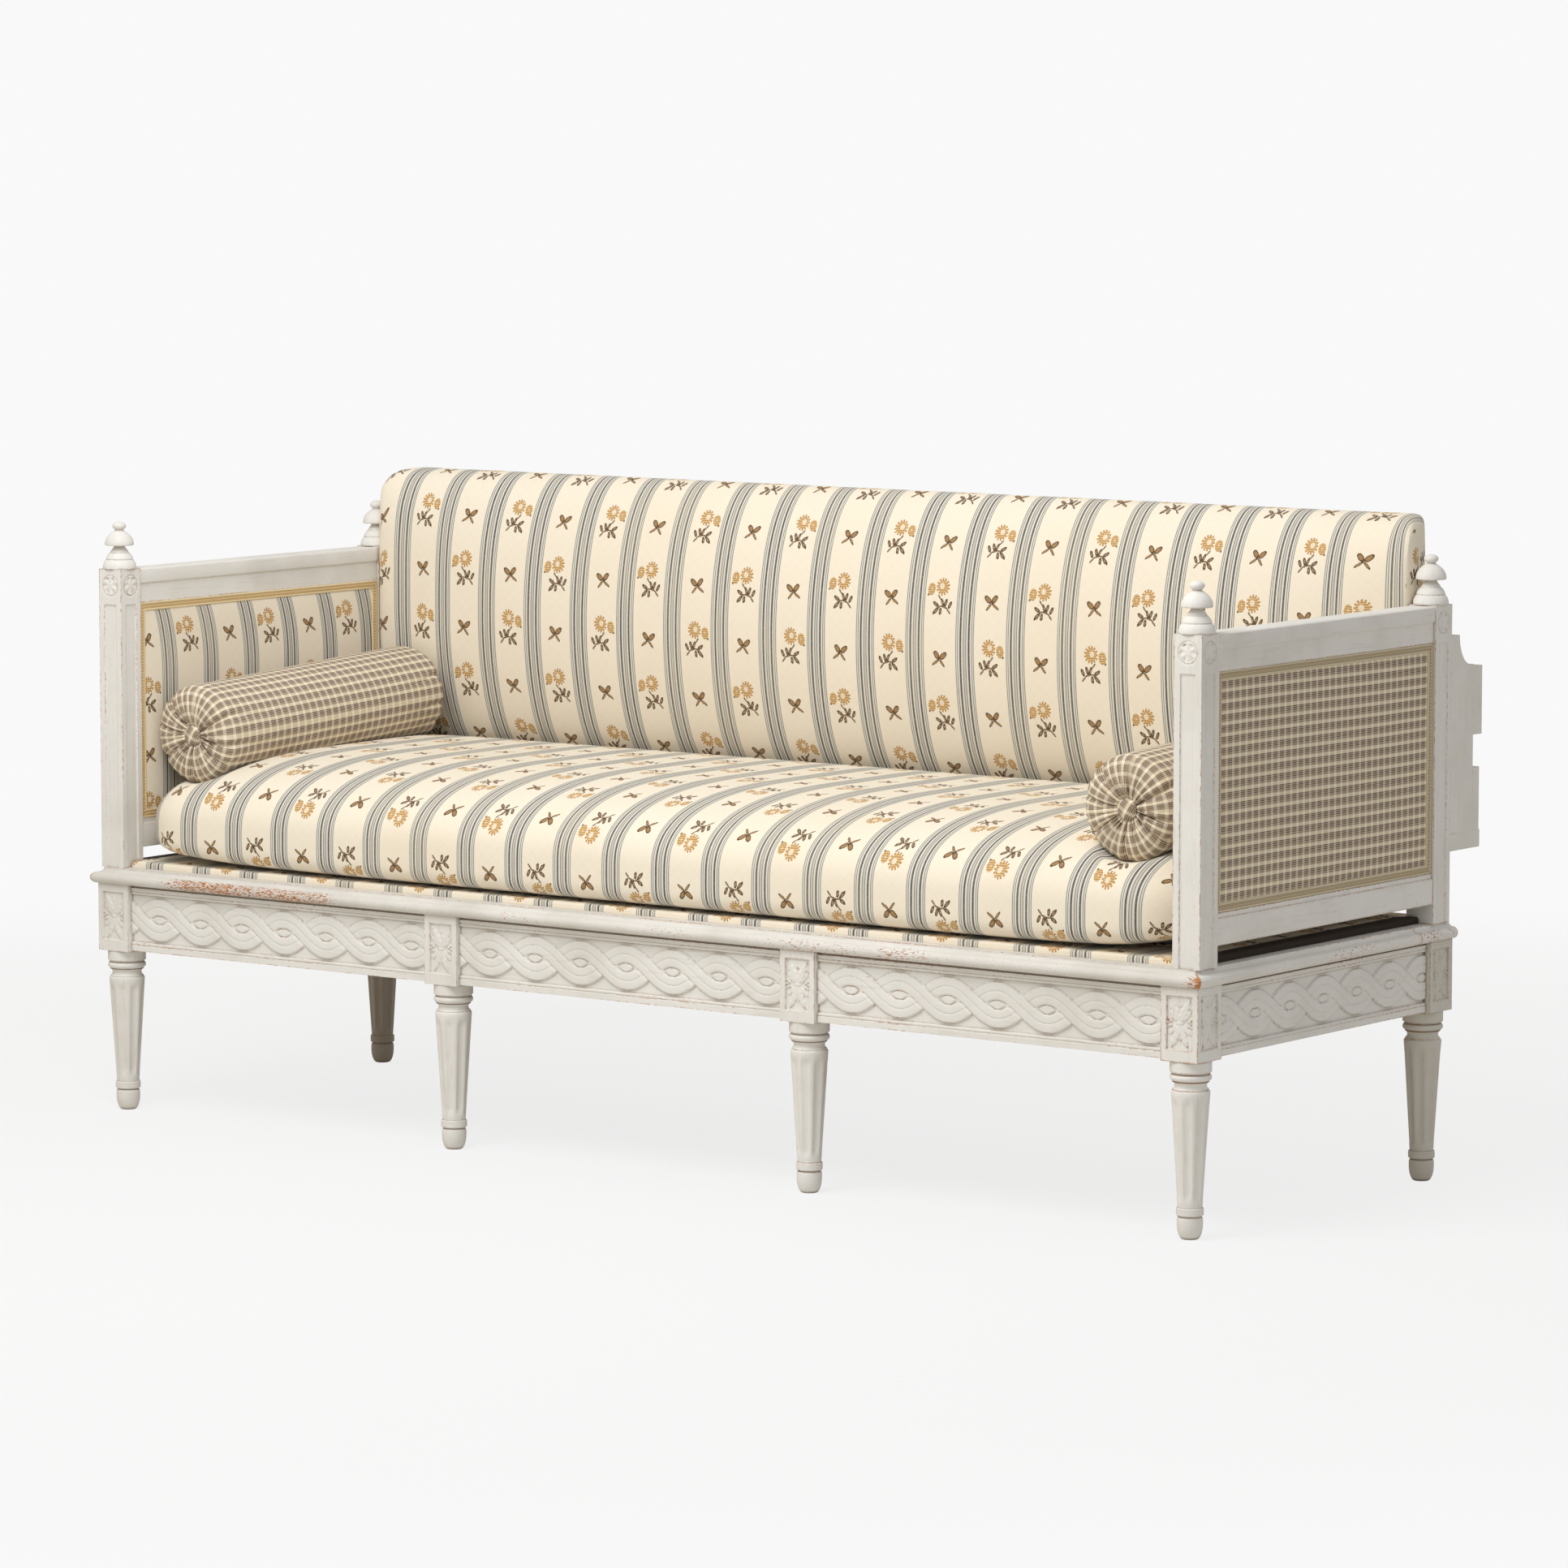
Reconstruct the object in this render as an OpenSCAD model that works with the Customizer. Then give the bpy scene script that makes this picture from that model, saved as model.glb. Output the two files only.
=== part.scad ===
// Painted wooden sofa of the late eighteenth century kind, in millimetres.
// +X is the sitter's left hand side seen from the front (right in a front view),
// -Y is the front, +Z is up. The origin is the middle of the footprint on the floor.

/* [Overall] */
// Length over the outer faces of the leg blocks
body_l = 2000; // [1800:10:2300]
// Depth over the leg blocks, front to back
body_d = 667; // [600:1:760]
// Height of the top of the leg blocks above the floor
frame_h = 350; // [320:1:420]
// Distance of each inner front leg from the middle
inner_leg_x = 325.5; // [250:0.5:500]

/* [Legs] */
// Width and depth of the square block on top of a leg
block_w = 60; // [58:0.5:68]
// Height of the square block on top of a leg
block_h = 103; // [96:1:120]
// Diameter of the round cap under the block
cap_d = 58; // [52:0.5:58]
// Height of the round cap under the block
cap_h = 16; // [10:1:22]
// Width of each turned groove
groove_h = 2; // [1:0.5:3]
// Depth of each turned groove
groove_depth = 2.5; // [1:0.5:4]
// Height of the half round ring under the cap
ring_h = 10; // [6:1:14]
// Height of the hollow under the ring
cove_h = 15; // [10:1:20]
// Diameter at the narrowest place of the hollow
neck_d = 44; // [36:0.5:48]
// Diameter of the tapered shaft at its top
shoulder_d = 54; // [50:0.5:57]
// Diameter of the tapered shaft at its bottom
ankle_d = 34; // [30:0.5:40]
// Height of the slope on top of the shaft
lip_h = 2; // [1:0.5:4]
// Diameter of the band under the shaft
collar_d = 38; // [36:0.5:44]
// Height of the band under the shaft
collar_h = 11; // [6:1:16]
// Largest diameter of the bud foot
foot_d = 36; // [32:0.5:42]
// Height of the bud foot
foot_h = 31; // [24:1:40]
// Diameter of the flat under the foot
foot_tip_d = 19; // [14:0.5:24]
// Number of flutes round the shaft
flutes = 8; // [6:1:10]
// Depth of a flute
flute_depth = 2; // [1:0.25:2.5]
// Radius of a flute at the top of the shaft
flute_top_r = 17; // [14:0.5:20]
// Radius of a flute at the bottom of the shaft
flute_low_r = 9; // [7:0.5:11]
// Plain stretch of the shaft above and below the flutes
flute_margin = 10; // [6:1:20]

/* [Seat rails] */
// Thickness of the seat rails
rail_t = 28; // [24:1:32]
// How far the rails lie behind the faces of the leg blocks
rail_inset = 7; // [4:0.5:10]
// How much higher the rails' lower edge is than the blocks'
rail_rise = 2; // [0:0.5:6]
// Height of the plain strip above the carved field
field_top = 13.5; // [10:0.5:18]
// Height of the plain strip below the carved field
field_low = 13; // [10:0.5:18]
// Depth of the ground of the carved field
carve_depth = 3; // [2:0.5:4]
// Half width of a plaited band
band_half = 12.4; // [9:0.1:12.4]
// Swing of a band's middle line above and below the field's middle
band_swing = 19.6; // [15:0.1:20]
// Distance between the eyes of the plait on the front rails
front_pitch = 83.4; // [75:0.1:95]
// Distance from a front rail's left end to its first eye
front_start = 57; // [0:0.5:80]
// Distance between the eyes of the plait on the side rails
side_pitch = 88; // [75:0.1:95]
// Distance from a side rail's front end to its first eye
side_start = 98; // [0:0.5:120]
// Thickness of every tenon
tenon_t = 12; // [8:0.5:14]
// Height of the tenons on the seat rails
tenon_h = 40; // [30:1:44]
// Length of the tenons on the front and back rails
long_tenon = 34; // [25:0.5:36]
// Length of the tenons on the side and cross rails
short_tenon = 25; // [18:0.5:26]
// How far a tenon stops short of the middle of a block or of another hole
tenon_stop = 2; // [1:0.5:4]
// Least height of wood above and below a tenon
tenon_shoulder = 10; // [4:0.5:14]
// Clearance round a tenon or a pin in its hole
joint_gap = 0.2; // [0.1:0.05:0.4]
// Height of the cross rails under the seat
cross_h = 60; // [50:1:70]
// Distance of the cross rails below the top of the frame
cross_drop = 10; // [5:1:20]

/* [Top boards] */
// Thickness of the boards that lie on the frame
board_t = 24; // [20:0.5:28]
// How far the rounded nose stands out over the leg blocks
nose_out = 9; // [6:0.5:12]
// Height of the rounded nose
nose_h = 17; // [14:0.5:18]
// Length of the short piece of side board at the back corner
side_end_l = 98; // [60:1:140]

/* [Posts and finials] */
// Width and depth of a corner post
post_w = 44.5; // [42:0.5:48]
// How far the posts' outer sides lie inside the blocks' sides
post_inset_x = 1.8; // [0:0.1:4]
// How far the posts' fronts lie behind the blocks' fronts
post_inset_y = 6.9; // [4:0.1:10]
// Height of a post above the boards
post_h = 456; // [400:1:520]
// Diameter of the round tenon under a post
pin_d = 20; // [14:0.5:22]
// How deep the tenon goes into the leg block
pin_depth = 34; // [20:1:36]
// Width of the sunk panel on a post
panel_w = 24; // [18:0.5:28]
// Depth of the sunk panel on a post
panel_depth = 2; // [1:0.25:2.5]
// Height of the plain block with the rosette on top of a post
rosette_h = 50; // [44:1:60]
// Diameter of a finial's base
finial_d = 51; // [46:0.5:52]
// Height of a finial
finial_h = 71.5; // [60:0.5:84]
// Diameter of the dowel under a finial
dowel_d = 10; // [8:0.5:12]
// Length of the dowel under a finial
dowel_l = 25; // [18:1:30]

/* [Arms] */
// Height of an arm's top rail
top_rail_h = 52; // [44:1:60]
// How far the top rail stays below the top of the posts
top_rail_drop = 1; // [0:0.5:4]
// Height of the bead on the top rail
bead_h = 22; // [16:1:26]
// How far the bead stands out from the rail on each side
bead_out = 2.5; // [1:0.25:3.5]
// How far the bead lies inside the post's faces
arm_inset = 1; // [0.5:0.25:2]
// Height of an arm's bottom rail
low_rail_h = 44; // [36:1:50]
// Height of the open gap under the bottom rail
arm_gap = 29; // [24:1:36]
// Height of the thinner strip on top of the bottom rail
low_strip_h = 7; // [4:0.5:10]
// Length of the tenons on the arm rails
arm_tenon = 22; // [14:0.5:26]
// Thickness of the woven cover on the outside of an arm
cover_t = 2; // [1:0.25:3]
// How far the outside cover lies behind the post's face
cover_inset = 6; // [5:0.25:8]
// Width of the braid round an arm's covers
gimp_w = 13; // [10:0.5:16]
// Thickness of the braid
gimp_t = 2.5; // [1.5:0.25:3]
// How far the edge of the inside pad lies behind the post's inner face
pad_inset = 4.5; // [4:0.5:12]
// How far the inside pad swells
pad_crown = 4; // [2:0.5:4]

/* [Back] */
// Depth of the space for the back cushion behind the rear posts
trough_d = 64.4; // [55:0.2:75]
// Thickness of the side brackets behind the rear posts
bracket_t = 20; // [16:0.5:24]
// How far the brackets lie inside the posts' outer faces
bracket_inset = 2; // [1:0.25:4]
// Height of the shelf's underside above the boards
shelf_rise = 100.5; // [90:0.5:120]
// Thickness of the shelf under the back cushion
shelf_t = 25; // [20:0.5:28]
// Depth of the shelf
shelf_d = 85; // [80:0.5:95]
// Height of the bracket without its ear
bracket_h = 240; // [220:1:260]
// Height of the ear against the post
ear_h = 44.5; // [30:0.5:50]
// Width of the ear
ear_w = 25; // [15:0.5:35]
// Flat stretch on the bracket's top beside the slat
bracket_flat = 7; // [4:0.5:12]
// Height of the lower slat
low_slat_h = 91; // [70:1:100]
// Thickness of the lower slat
low_slat_t = 18; // [14:0.5:20]
// Height of the upper slat
top_slat_h = 99; // [70:1:110]
// Thickness of the upper slat
top_slat_t = 24; // [18:0.5:26]
// Distance of the upper slat's top below the bracket's flat top
top_slat_drop = 3; // [0:0.5:6]
// Diameter of a nail's head
nail_head_d = 7; // [5:0.5:9]
// Height of a nail's head
nail_head_h = 1.2; // [0.8:0.1:2]
// Diameter of a nail's shank
nail_d = 3; // [2:0.25:4]
// How deep a nail goes into the bracket
nail_bite = 20; // [12:1:28]

/* [Seat deck] */
// How far the deck lies behind the nose at the front
deck_back = 34.5; // [30:0.5:38]
// Height of the upholstered deck above the boards
deck_h = 9.7; // [6:0.1:14]
// Thickness of the deck's woven cover
deck_cover_t = 1.2; // [0.8:0.1:2]
// Gap between the deck's cover and a post
deck_post_gap = 0.5; // [0.3:0.1:1]
// Thickness of a web
web_t = 1.5; // [1:0.1:2]
// Width of a web
web_w = 50; // [40:1:60]
// Distance between the webs that run front to back
web_pitch = 140; // [110:1:160]
// Distance between the webs that run along the sofa
long_web_pitch = 150; // [110:1:180]
// How far the webs' ends lie inside the deck's edge
web_inset = 12; // [8:0.5:20]

/* [Cushions] */
// Gap between a cushion and what it rests on
rest_gap = 0.3; // [0.2:0.05:0.5]
// Gap between the ends of the seat cushion and the posts
seat_end_gap = 4; // [2:0.5:12]
// How far the seat cushion's front lies behind the blocks' fronts
seat_front = 11.5; // [6:0.5:30]
// Gap between the seat cushion's back and the line of the shelf
seat_back_gap = 2; // [1:0.5:10]
// Thickness of the seat cushion
seat_t = 164; // [140:1:180]
// Height of the seat cushion's fullest line above its underside
seat_waist = 60; // [50:1:70]
// Radius of the seat cushion's front corners seen from above
seat_corner_r = 95; // [60:1:120]
// Radius of the seat cushion's back corners seen from above
seat_back_r = 45; // [30:1:60]
// How far the back cushion's front stands in front of the rear posts' backs
back_lead = 50.6; // [36:0.2:56]
// Height of the back cushion
back_h = 457; // [420:1:480]
// Front depth of the back cushion from its fullest line
back_swell = 94; // [80:1:96]
// How far the back cushion bulges over the upper slat
back_over = 14; // [0:1:20]
// Radius of the back cushion's rear corners seen from above
back_corner_r = 85; // [50:1:90]
// Radius of the back cushion's front corners seen from above
back_edge_r = 6; // [4:1:20]
// Gap between the back cushion's ends and the posts
back_end_gap = 4; // [2:0.5:12]
// Radius of a bolster
bolster_r = 76; // [65:0.5:80]
// Length of a bolster
bolster_l = 534; // [440:1:535]
// Gap between the bolsters' rear ends and the back cushion
bolster_back_gap = 3; // [2:0.1:40]
// Height of a bolster's middle above the seat cushion's underside at its front end
bolster_rise = 192; // [186:1:196]
// Slope of a bolster, rising to the back
bolster_tilt = 3; // [2:0.25:3.5]
// Gap between the left bolster and the line of the posts' inner faces
left_bolster_gap = 1.2; // [1.2:0.1:200]
// Gap between the right bolster and the line of the posts' inner faces
right_bolster_gap = 47.7; // [1.2:0.1:200]
// Radius of the rounded rim of a bolster's end
bolster_rim = 15; // [12:1:30]
// Depth of the gathered hollow in the middle of a bolster's end
bolster_dimple = 10; // [4:1:14]
// Diameter of a covered button
button_d = 30.5; // [20:0.5:32]
// Height of a covered button
button_h = 9; // [6:0.5:12]
// Gap between the seat cushion's hollows and the bolsters
bolster_gap = 0.6; // [0.4:0.1:1]

/* [Hidden] */

paint = [0.84, 0.84, 0.82];
bare_wood = [0.55, 0.43, 0.31];
stripe_cloth = [0.92, 0.88, 0.79];
plaid_cloth = [0.72, 0.66, 0.58];
braid = [0.72, 0.58, 0.34];
jute = [0.66, 0.55, 0.38];
iron = [0.25, 0.23, 0.21];

// Margin that lets a cutter pass through a face
over = 1;
// Corners of the frame
hx = body_l / 2;
hy = body_d / 2;
block_low = frame_h - block_h;
board_top = frame_h + board_t;
rail_low = block_low + rail_rise;
rail_h = frame_h - rail_low;
// Middle of a corner post and of the leg under it
post_x = hx - post_inset_x - post_w / 2;
post_y = hy - post_inset_y - post_w / 2;
post_top = board_top + post_h;
post_in_x = post_x - post_w / 2;
post_in_y = post_y - post_w / 2;
post_out_x = hx - post_inset_x;
post_back_y = hy - post_inset_y;
// Lengths between the blocks
side_free = body_d - 2 * block_w;
outer_bay_low = inner_leg_x + block_w / 2;
outer_bay_high = hx - block_w;
tenon_low = rail_low + field_low;
// Levels of an arm
low_rail_z = board_top + arm_gap;
pad_z = low_rail_z + low_rail_h;
top_rail_z = post_top - top_rail_drop - top_rail_h;
pad_h = top_rail_z - pad_z;
arm_t = post_w - 2 * arm_inset;
cover_x = post_out_x - cover_inset;
pad_edge_x = post_in_x + pad_inset;
// Levels and depths of the back
slat_y = post_back_y + trough_d;
shelf_z = board_top + shelf_rise;
shelf_top = shelf_z + shelf_t;
bracket_x = post_out_x - bracket_inset;
bracket_top = shelf_top + bracket_h;
// Deck
deck_front = hy + nose_out - deck_back;
deck_side = hx + nose_out - deck_back;
deck_top = board_top + deck_h;
// Cushions
seat_low = deck_top + rest_gap;
seat_mid = seat_low + seat_waist;
seat_half_l = post_in_x - seat_end_gap;
seat_front_d = hy - seat_front;
seat_back_d = post_back_y - seat_back_gap;
back_low = shelf_top + rest_gap;
back_front_y = post_back_y - back_lead;
back_mid_y = back_front_y + back_swell;
back_half_l = post_in_x - back_end_gap;
bolster_z = seat_low + bolster_rise;
bolster_front_y = back_front_y - bolster_back_gap - bolster_l * cos(bolster_tilt);
left_bolster_x = post_in_x - left_bolster_gap - bolster_r;
right_bolster_x = post_in_x - right_bolster_gap - bolster_r;

// Point on a circle
function arc_point(c, r, a) = [c[0] + r * cos(a), c[1] + r * sin(a)];
// Arc of a circle from angle a to angle b in n steps
function arc(c, r, a, b, n) = [for (i = [0 : n]) arc_point(c, r, a + (b - a) * i / n)];
// Quarter of a rounded-square curve: the height at a share u of the half width
function bulge(u, n) = pow(max(0, 1 - pow(min(1, abs(u)), n)), 1 / n);
function sign_of(v) = v < 0 ? -1 : 1;

module box(low, high) {
    translate(low)
        cube(high - low);
}

module on_left() {
    mirror([1, 0, 0])
        children();
}

// The back reaches further than the front, so everything moves forward to put the origin
// in the middle of the overall depth
middle_shift = (slat_y + top_slat_t + nail_head_h - hy - nose_out) / 2;
module placed() {
    translate([0, -middle_shift, 0])
        children();
}

// Leg: a square block with a turned and fluted shaft under it, in one piece of wood
shaft_low = foot_h + groove_h + collar_h;
shaft_high = block_low - cap_h - groove_h - ring_h - cove_h;
function leg_outline() = concat(
    [[0, 0], [foot_tip_d / 2, 0]],
    [for (i = [0 : 5]) let (a = 15 * i)
        [foot_tip_d / 2 + (foot_d - foot_tip_d) / 2 * sin(a + 15), foot_h * 0.7 * (1 - cos(a + 15))]],
    [[foot_d / 2, foot_h * 0.9], [foot_d / 2 - 1, foot_h],
        [foot_d / 2 - groove_depth, foot_h],
        [foot_d / 2 - groove_depth, foot_h + groove_h],
        [collar_d / 2, foot_h + groove_h], [collar_d / 2, shaft_low],
        [ankle_d / 2, shaft_low], [shoulder_d / 2, shaft_high],
        [shoulder_d / 2 - lip_h, shaft_high + lip_h]],
    arc([(neck_d + cove_h) / 2 - lip_h, shaft_high + (cove_h + lip_h) / 2], cove_h / 2 - lip_h,
        250, 110, 8),
    [[cap_d / 2 - ring_h / 2, shaft_high + cove_h]],
    arc([cap_d / 2 - ring_h / 2, shaft_high + cove_h + ring_h / 2], ring_h / 2, -90, 90, 8),
    [[cap_d / 2 - groove_depth, block_low - cap_h - groove_h],
        [cap_d / 2 - groove_depth, block_low - cap_h],
        [cap_d / 2, block_low - cap_h], [cap_d / 2, block_low], [0, block_low]]);

module flute() {
    low_z = shaft_low + flute_margin;
    high_z = shaft_high - flute_margin;
    slope = (shoulder_d - ankle_d) / 2 / (shaft_high - shaft_low);
    low_r = ankle_d / 2 + slope * flute_margin;
    high_r = shoulder_d / 2 - slope * flute_margin;
    low_axis = low_r + flute_low_r - flute_depth;
    high_axis = high_r + flute_top_r - flute_depth;
    length = norm([high_axis - low_axis, high_z - low_z]);
    translate([low_axis, 0, low_z])
        rotate([0, atan2(high_axis - low_axis, high_z - low_z), 0])
            cylinder(h = length, r1 = flute_low_r, r2 = flute_top_r, $fn = 32);
}

module turned_leg() {
    difference() {
        rotate_extrude($fn = 64)
            polygon(leg_outline());
        for (i = [0 : flutes - 1])
            rotate([0, 0, 360 * (i + 0.5) / flutes])
                flute();
    }
}

// A mortise as wide as a tenon and its clearance, along X or along Y from the middle of a block
module mortise_x(y, z, h, length) {
    box([0, y - tenon_t / 2 - joint_gap, z - joint_gap],
        [length + joint_gap, y + tenon_t / 2 + joint_gap, z + h + joint_gap]);
}
module mortise_y(x, z, h, length) {
    box([x - tenon_t / 2 - joint_gap, 0, z - joint_gap],
        [x + tenon_t / 2 + joint_gap, length + joint_gap, z + h + joint_gap]);
}

rail_mid = rail_inset + rail_t / 2;
// Corner leg at the front right, with the mortises of both rails and the post's hole
module corner_leg() {
    translate([hx - block_w / 2, block_w / 2 - hy, 0])
        turned_leg();
    difference() {
        box([hx - block_w, -hy, block_low], [hx, block_w - hy, frame_h]);
        translate([outer_bay_high - over, 0, 0])
            mortise_x(rail_mid - hy, tenon_low, tenon_h, long_tenon + over);
        translate([0, block_w - hy + over, 0])
            mirror([0, 1, 0])
                mortise_y(hx - rail_mid, tenon_low, tenon_h, short_tenon + over);
        translate([post_x, -post_y, frame_h - pin_depth])
            cylinder(h = pin_depth + over, d = pin_d + 2 * joint_gap, $fn = 48);
    }
}

// Inner front leg at the right, with the mortises of two front rails and a cross rail
module inner_leg() {
    translate([inner_leg_x, block_w / 2 - hy, 0])
        turned_leg();
    difference() {
        box([inner_leg_x - block_w / 2, -hy, block_low],
            [inner_leg_x + block_w / 2, block_w - hy, frame_h]);
        inner_tenon = block_w / 2 - tenon_stop;
        for (side = [-1, 1])
            translate([inner_leg_x + side * (block_w / 2 + over), 0, 0])
                mirror([side > 0 ? 1 : 0, 0, 0])
                    mortise_x(rail_mid - hy, tenon_low, tenon_h, inner_tenon + over);
        translate([0, block_w - hy + over, 0])
            mirror([0, 1, 0])
                mortise_y(inner_leg_x, cross_tenon_z, cross_tenon_h, short_tenon + over);
    }
}
cross_tenon_h = cross_h - 2 * tenon_shoulder;
cross_tenon_z = frame_h - cross_drop - cross_h + tenon_shoulder;

module front_left_leg() color(paint) placed() on_left() corner_leg();
module front_right_leg() color(paint) placed() corner_leg();
module rear_left_leg() color(paint) placed() on_left() mirror([0, 1, 0]) corner_leg();
module rear_right_leg() color(paint) placed() mirror([0, 1, 0]) corner_leg();
module front_inner_left_leg() color(paint) placed() on_left() inner_leg();
module front_inner_right_leg() color(paint) placed() inner_leg();

// One band of the plait, drawn flat along X from the rail's end
function band_angle(x, start, pitch) = 180 * (x - start) / pitch;
function band_slope(x, start, pitch, way) =
    -way * band_swing * PI / pitch * sin(band_angle(x, start, pitch));
function band_edge(x, start, pitch, way, side) =
    let (s = band_slope(x, start, pitch, way), k = side * band_half / sqrt(1 + s * s))
    [x - k * s, way * band_swing * cos(band_angle(x, start, pitch)) + k];
module band(length, start, pitch, way) {
    count = ceil((length + 2 * band_half) / pitch * 8);
    xs = [for (i = [0 : count]) -band_half + (length + 2 * band_half) * i / count];
    polygon(concat([for (x = xs) band_edge(x, start, pitch, way, 1)],
        [for (i = [count : -1 : 0]) band_edge(xs[i], start, pitch, way, -1)]));
}
module plait(length, start, pitch) {
    intersection() {
        union() {
            band(length, start, pitch, 1);
            band(length, start, pitch, -1);
        }
        translate([0, -rail_h / 2])
            square([length, rail_h]);
    }
}

// A seat rail lying along X with its carved face at y = 0 and its left end at x = 0
module carved_rail(length, start, pitch) {
    field_z = rail_low + field_low;
    field_h = rail_h - field_low - field_top;
    difference() {
        box([0, 0, rail_low], [length, rail_t, frame_h]);
        box([-over, -over, field_z], [length + over, carve_depth, field_z + field_h]);
    }
    translate([0, carve_depth, field_z + field_h / 2])
        rotate([90, 0, 0])
            linear_extrude(carve_depth)
                plait(length, start, pitch);
}
module rail_tenons(length, left_tenon, right_tenon, h, z) {
    y = (rail_t - tenon_t) / 2;
    box([-left_tenon, y, z], [0, y + tenon_t, z + h]);
    box([length, y, z], [length + right_tenon, y + tenon_t, z + h]);
}

module front_rail_left() color(paint) placed() {
    translate([-outer_bay_high, rail_inset - hy, 0]) {
        carved_rail(outer_bay_high - outer_bay_low, front_start, front_pitch);
        rail_tenons(outer_bay_high - outer_bay_low, long_tenon, block_w / 2 - tenon_stop, tenon_h, tenon_low);
    }
}
module front_rail_middle() color(paint) placed() {
    length = 2 * inner_leg_x - block_w;
    translate([-length / 2, rail_inset - hy, 0]) {
        carved_rail(length, front_start, front_pitch);
        rail_tenons(length, block_w / 2 - tenon_stop, block_w / 2 - tenon_stop, tenon_h, tenon_low);
    }
}
module front_rail_right() color(paint) placed() {
    translate([outer_bay_low, rail_inset - hy, 0]) {
        carved_rail(outer_bay_high - outer_bay_low, front_start, front_pitch);
        rail_tenons(outer_bay_high - outer_bay_low, block_w / 2 - tenon_stop, long_tenon, tenon_h, tenon_low);
    }
}
module right_rail() color(paint) placed() {
    translate([hx - rail_inset, block_w - hy, 0])
        rotate([0, 0, 90]) {
            carved_rail(side_free, side_start, side_pitch);
            rail_tenons(side_free, short_tenon, short_tenon, tenon_h, tenon_low);
        }
}
module left_rail() color(paint) on_left() right_rail();

// Plain rail at the back, between the rear leg blocks
module back_rail() color(paint) placed() {
    face = hy - rail_inset - rail_t;
    difference() {
        union() {
            box([-outer_bay_high, face, rail_low], [outer_bay_high, face + rail_t, frame_h]);
            translate([-outer_bay_high, face, 0])
                rail_tenons(2 * outer_bay_high, long_tenon, long_tenon, tenon_h, tenon_low);
        }
        for (side = [-1, 1])
            translate([0, face - over, 0])
                mortise_y(side * inner_leg_x, cross_tenon_z, cross_tenon_h, rail_t / 2 + over);
    }
}

// Cross rail from an inner front leg to the back rail
module cross_rail(side) {
    x = side * inner_leg_x;
    z = frame_h - cross_drop - cross_h;
    box([x - rail_t / 2, block_w - hy, z], [x + rail_t / 2, hy - rail_inset - rail_t, z + cross_h]);
    box([x - tenon_t / 2, block_w - hy - short_tenon, cross_tenon_z],
        [x + tenon_t / 2, hy - rail_inset - rail_t / 2, cross_tenon_z + cross_tenon_h]);
}
module left_cross_rail() color(bare_wood) placed() cross_rail(-1);
module right_cross_rail() color(bare_wood) placed() cross_rail(1);

// Cross section of a top board, drawn with the outer side towards +X from the block's face
board_w = block_w + nose_out;
function board_outline() = concat(
    [[-block_w, 0]],
    arc([nose_out - nose_h / 2, nose_h / 2], nose_h / 2, -90, 90, 12),
    arc([nose_out - nose_h / 2, board_t], board_t - nose_h, -90, -180, 5),
    [[-block_w, board_t]]);

module post_hole(x, y) {
    translate([x, y, frame_h - over])
        cylinder(h = board_t + 2 * over, d = pin_d + 2 * joint_gap, $fn = 48);
}

// Front board: its ends are mitred where the side boards meet it
module front_board() color(paint) placed() {
    reach = hx + nose_out;
    front = -hy - nose_out;
    difference() {
        intersection() {
            translate([-reach, -hy, frame_h])
                rotate([90, 0, 90])
                    linear_extrude(2 * reach)
                        mirror([1, 0])
                            polygon(board_outline());
            translate([0, 0, frame_h - over])
                linear_extrude(board_t + 2 * over)
                    polygon([[-reach, front], [reach, front], [reach - board_w, front + board_w],
                        [board_w - reach, front + board_w]]);
        }
        for (side = [-1, 1])
            post_hole(side * post_x, -post_y);
    }
}

// Side board from the front mitre to the joint near the back corner
module side_board() {
    reach = hx + nose_out;
    front = -hy - nose_out;
    joint_y = hy - side_end_l;
    difference() {
        intersection() {
            translate([hx, joint_y, frame_h])
                rotate([90, 0, 0])
                    linear_extrude(joint_y - front)
                        polygon(board_outline());
            translate([0, 0, frame_h - over])
                linear_extrude(board_t + 2 * over)
                    polygon([[reach, front], [reach, joint_y], [reach - board_w, joint_y],
                        [reach - board_w, front + board_w]]);
        }
        post_hole(post_x, -post_y);
    }
}
module board_end() {
    difference() {
        translate([hx, hy, frame_h])
            rotate([90, 0, 0])
                linear_extrude(side_end_l)
                    polygon(board_outline());
        post_hole(post_x, post_y);
    }
}
module right_board() color(paint) placed() side_board();
module left_board() color(paint) placed() on_left() side_board();
module right_board_end() color(paint) placed() board_end();
module left_board_end() color(paint) placed() on_left() board_end();
module back_board() color(paint) placed() {
    box([-outer_bay_high, hy - block_w, frame_h], [outer_bay_high, hy, board_top]);
}

// Webs nailed across the frame, and the deck that is upholstered over them
module cross_webs() color(jute) placed() {
    count = floor((deck_side - web_w) / web_pitch);
    half_l = deck_front - web_inset;
    for (i = [-count : count])
        box([i * web_pitch - web_w / 2, -half_l, board_top],
            [i * web_pitch + web_w / 2, half_l, board_top + web_t]);
}
module long_webs() color(jute) placed() {
    half_l = deck_side - web_inset;
    for (i = [-1 : 1])
        box([-half_l, i * long_web_pitch - web_w / 2, board_top + web_t],
            [half_l, i * long_web_pitch + web_w / 2, board_top + 2 * web_t]);
}
module deck_outline(inset) {
    notch_x = post_in_x - deck_post_gap - inset;
    notch_y = post_in_y - deck_post_gap - inset;
    difference() {
        translate([inset - deck_side, inset - deck_front])
            square([2 * (deck_side - inset), 2 * (deck_front - inset)]);
        for (sx = [-1, 1], sy = [-1, 1])
            mirror([sx > 0 ? 0 : 1, 0])
                mirror([0, sy > 0 ? 0 : 1])
                    translate([notch_x, notch_y])
                        square(2 * block_w);
    }
}
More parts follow.
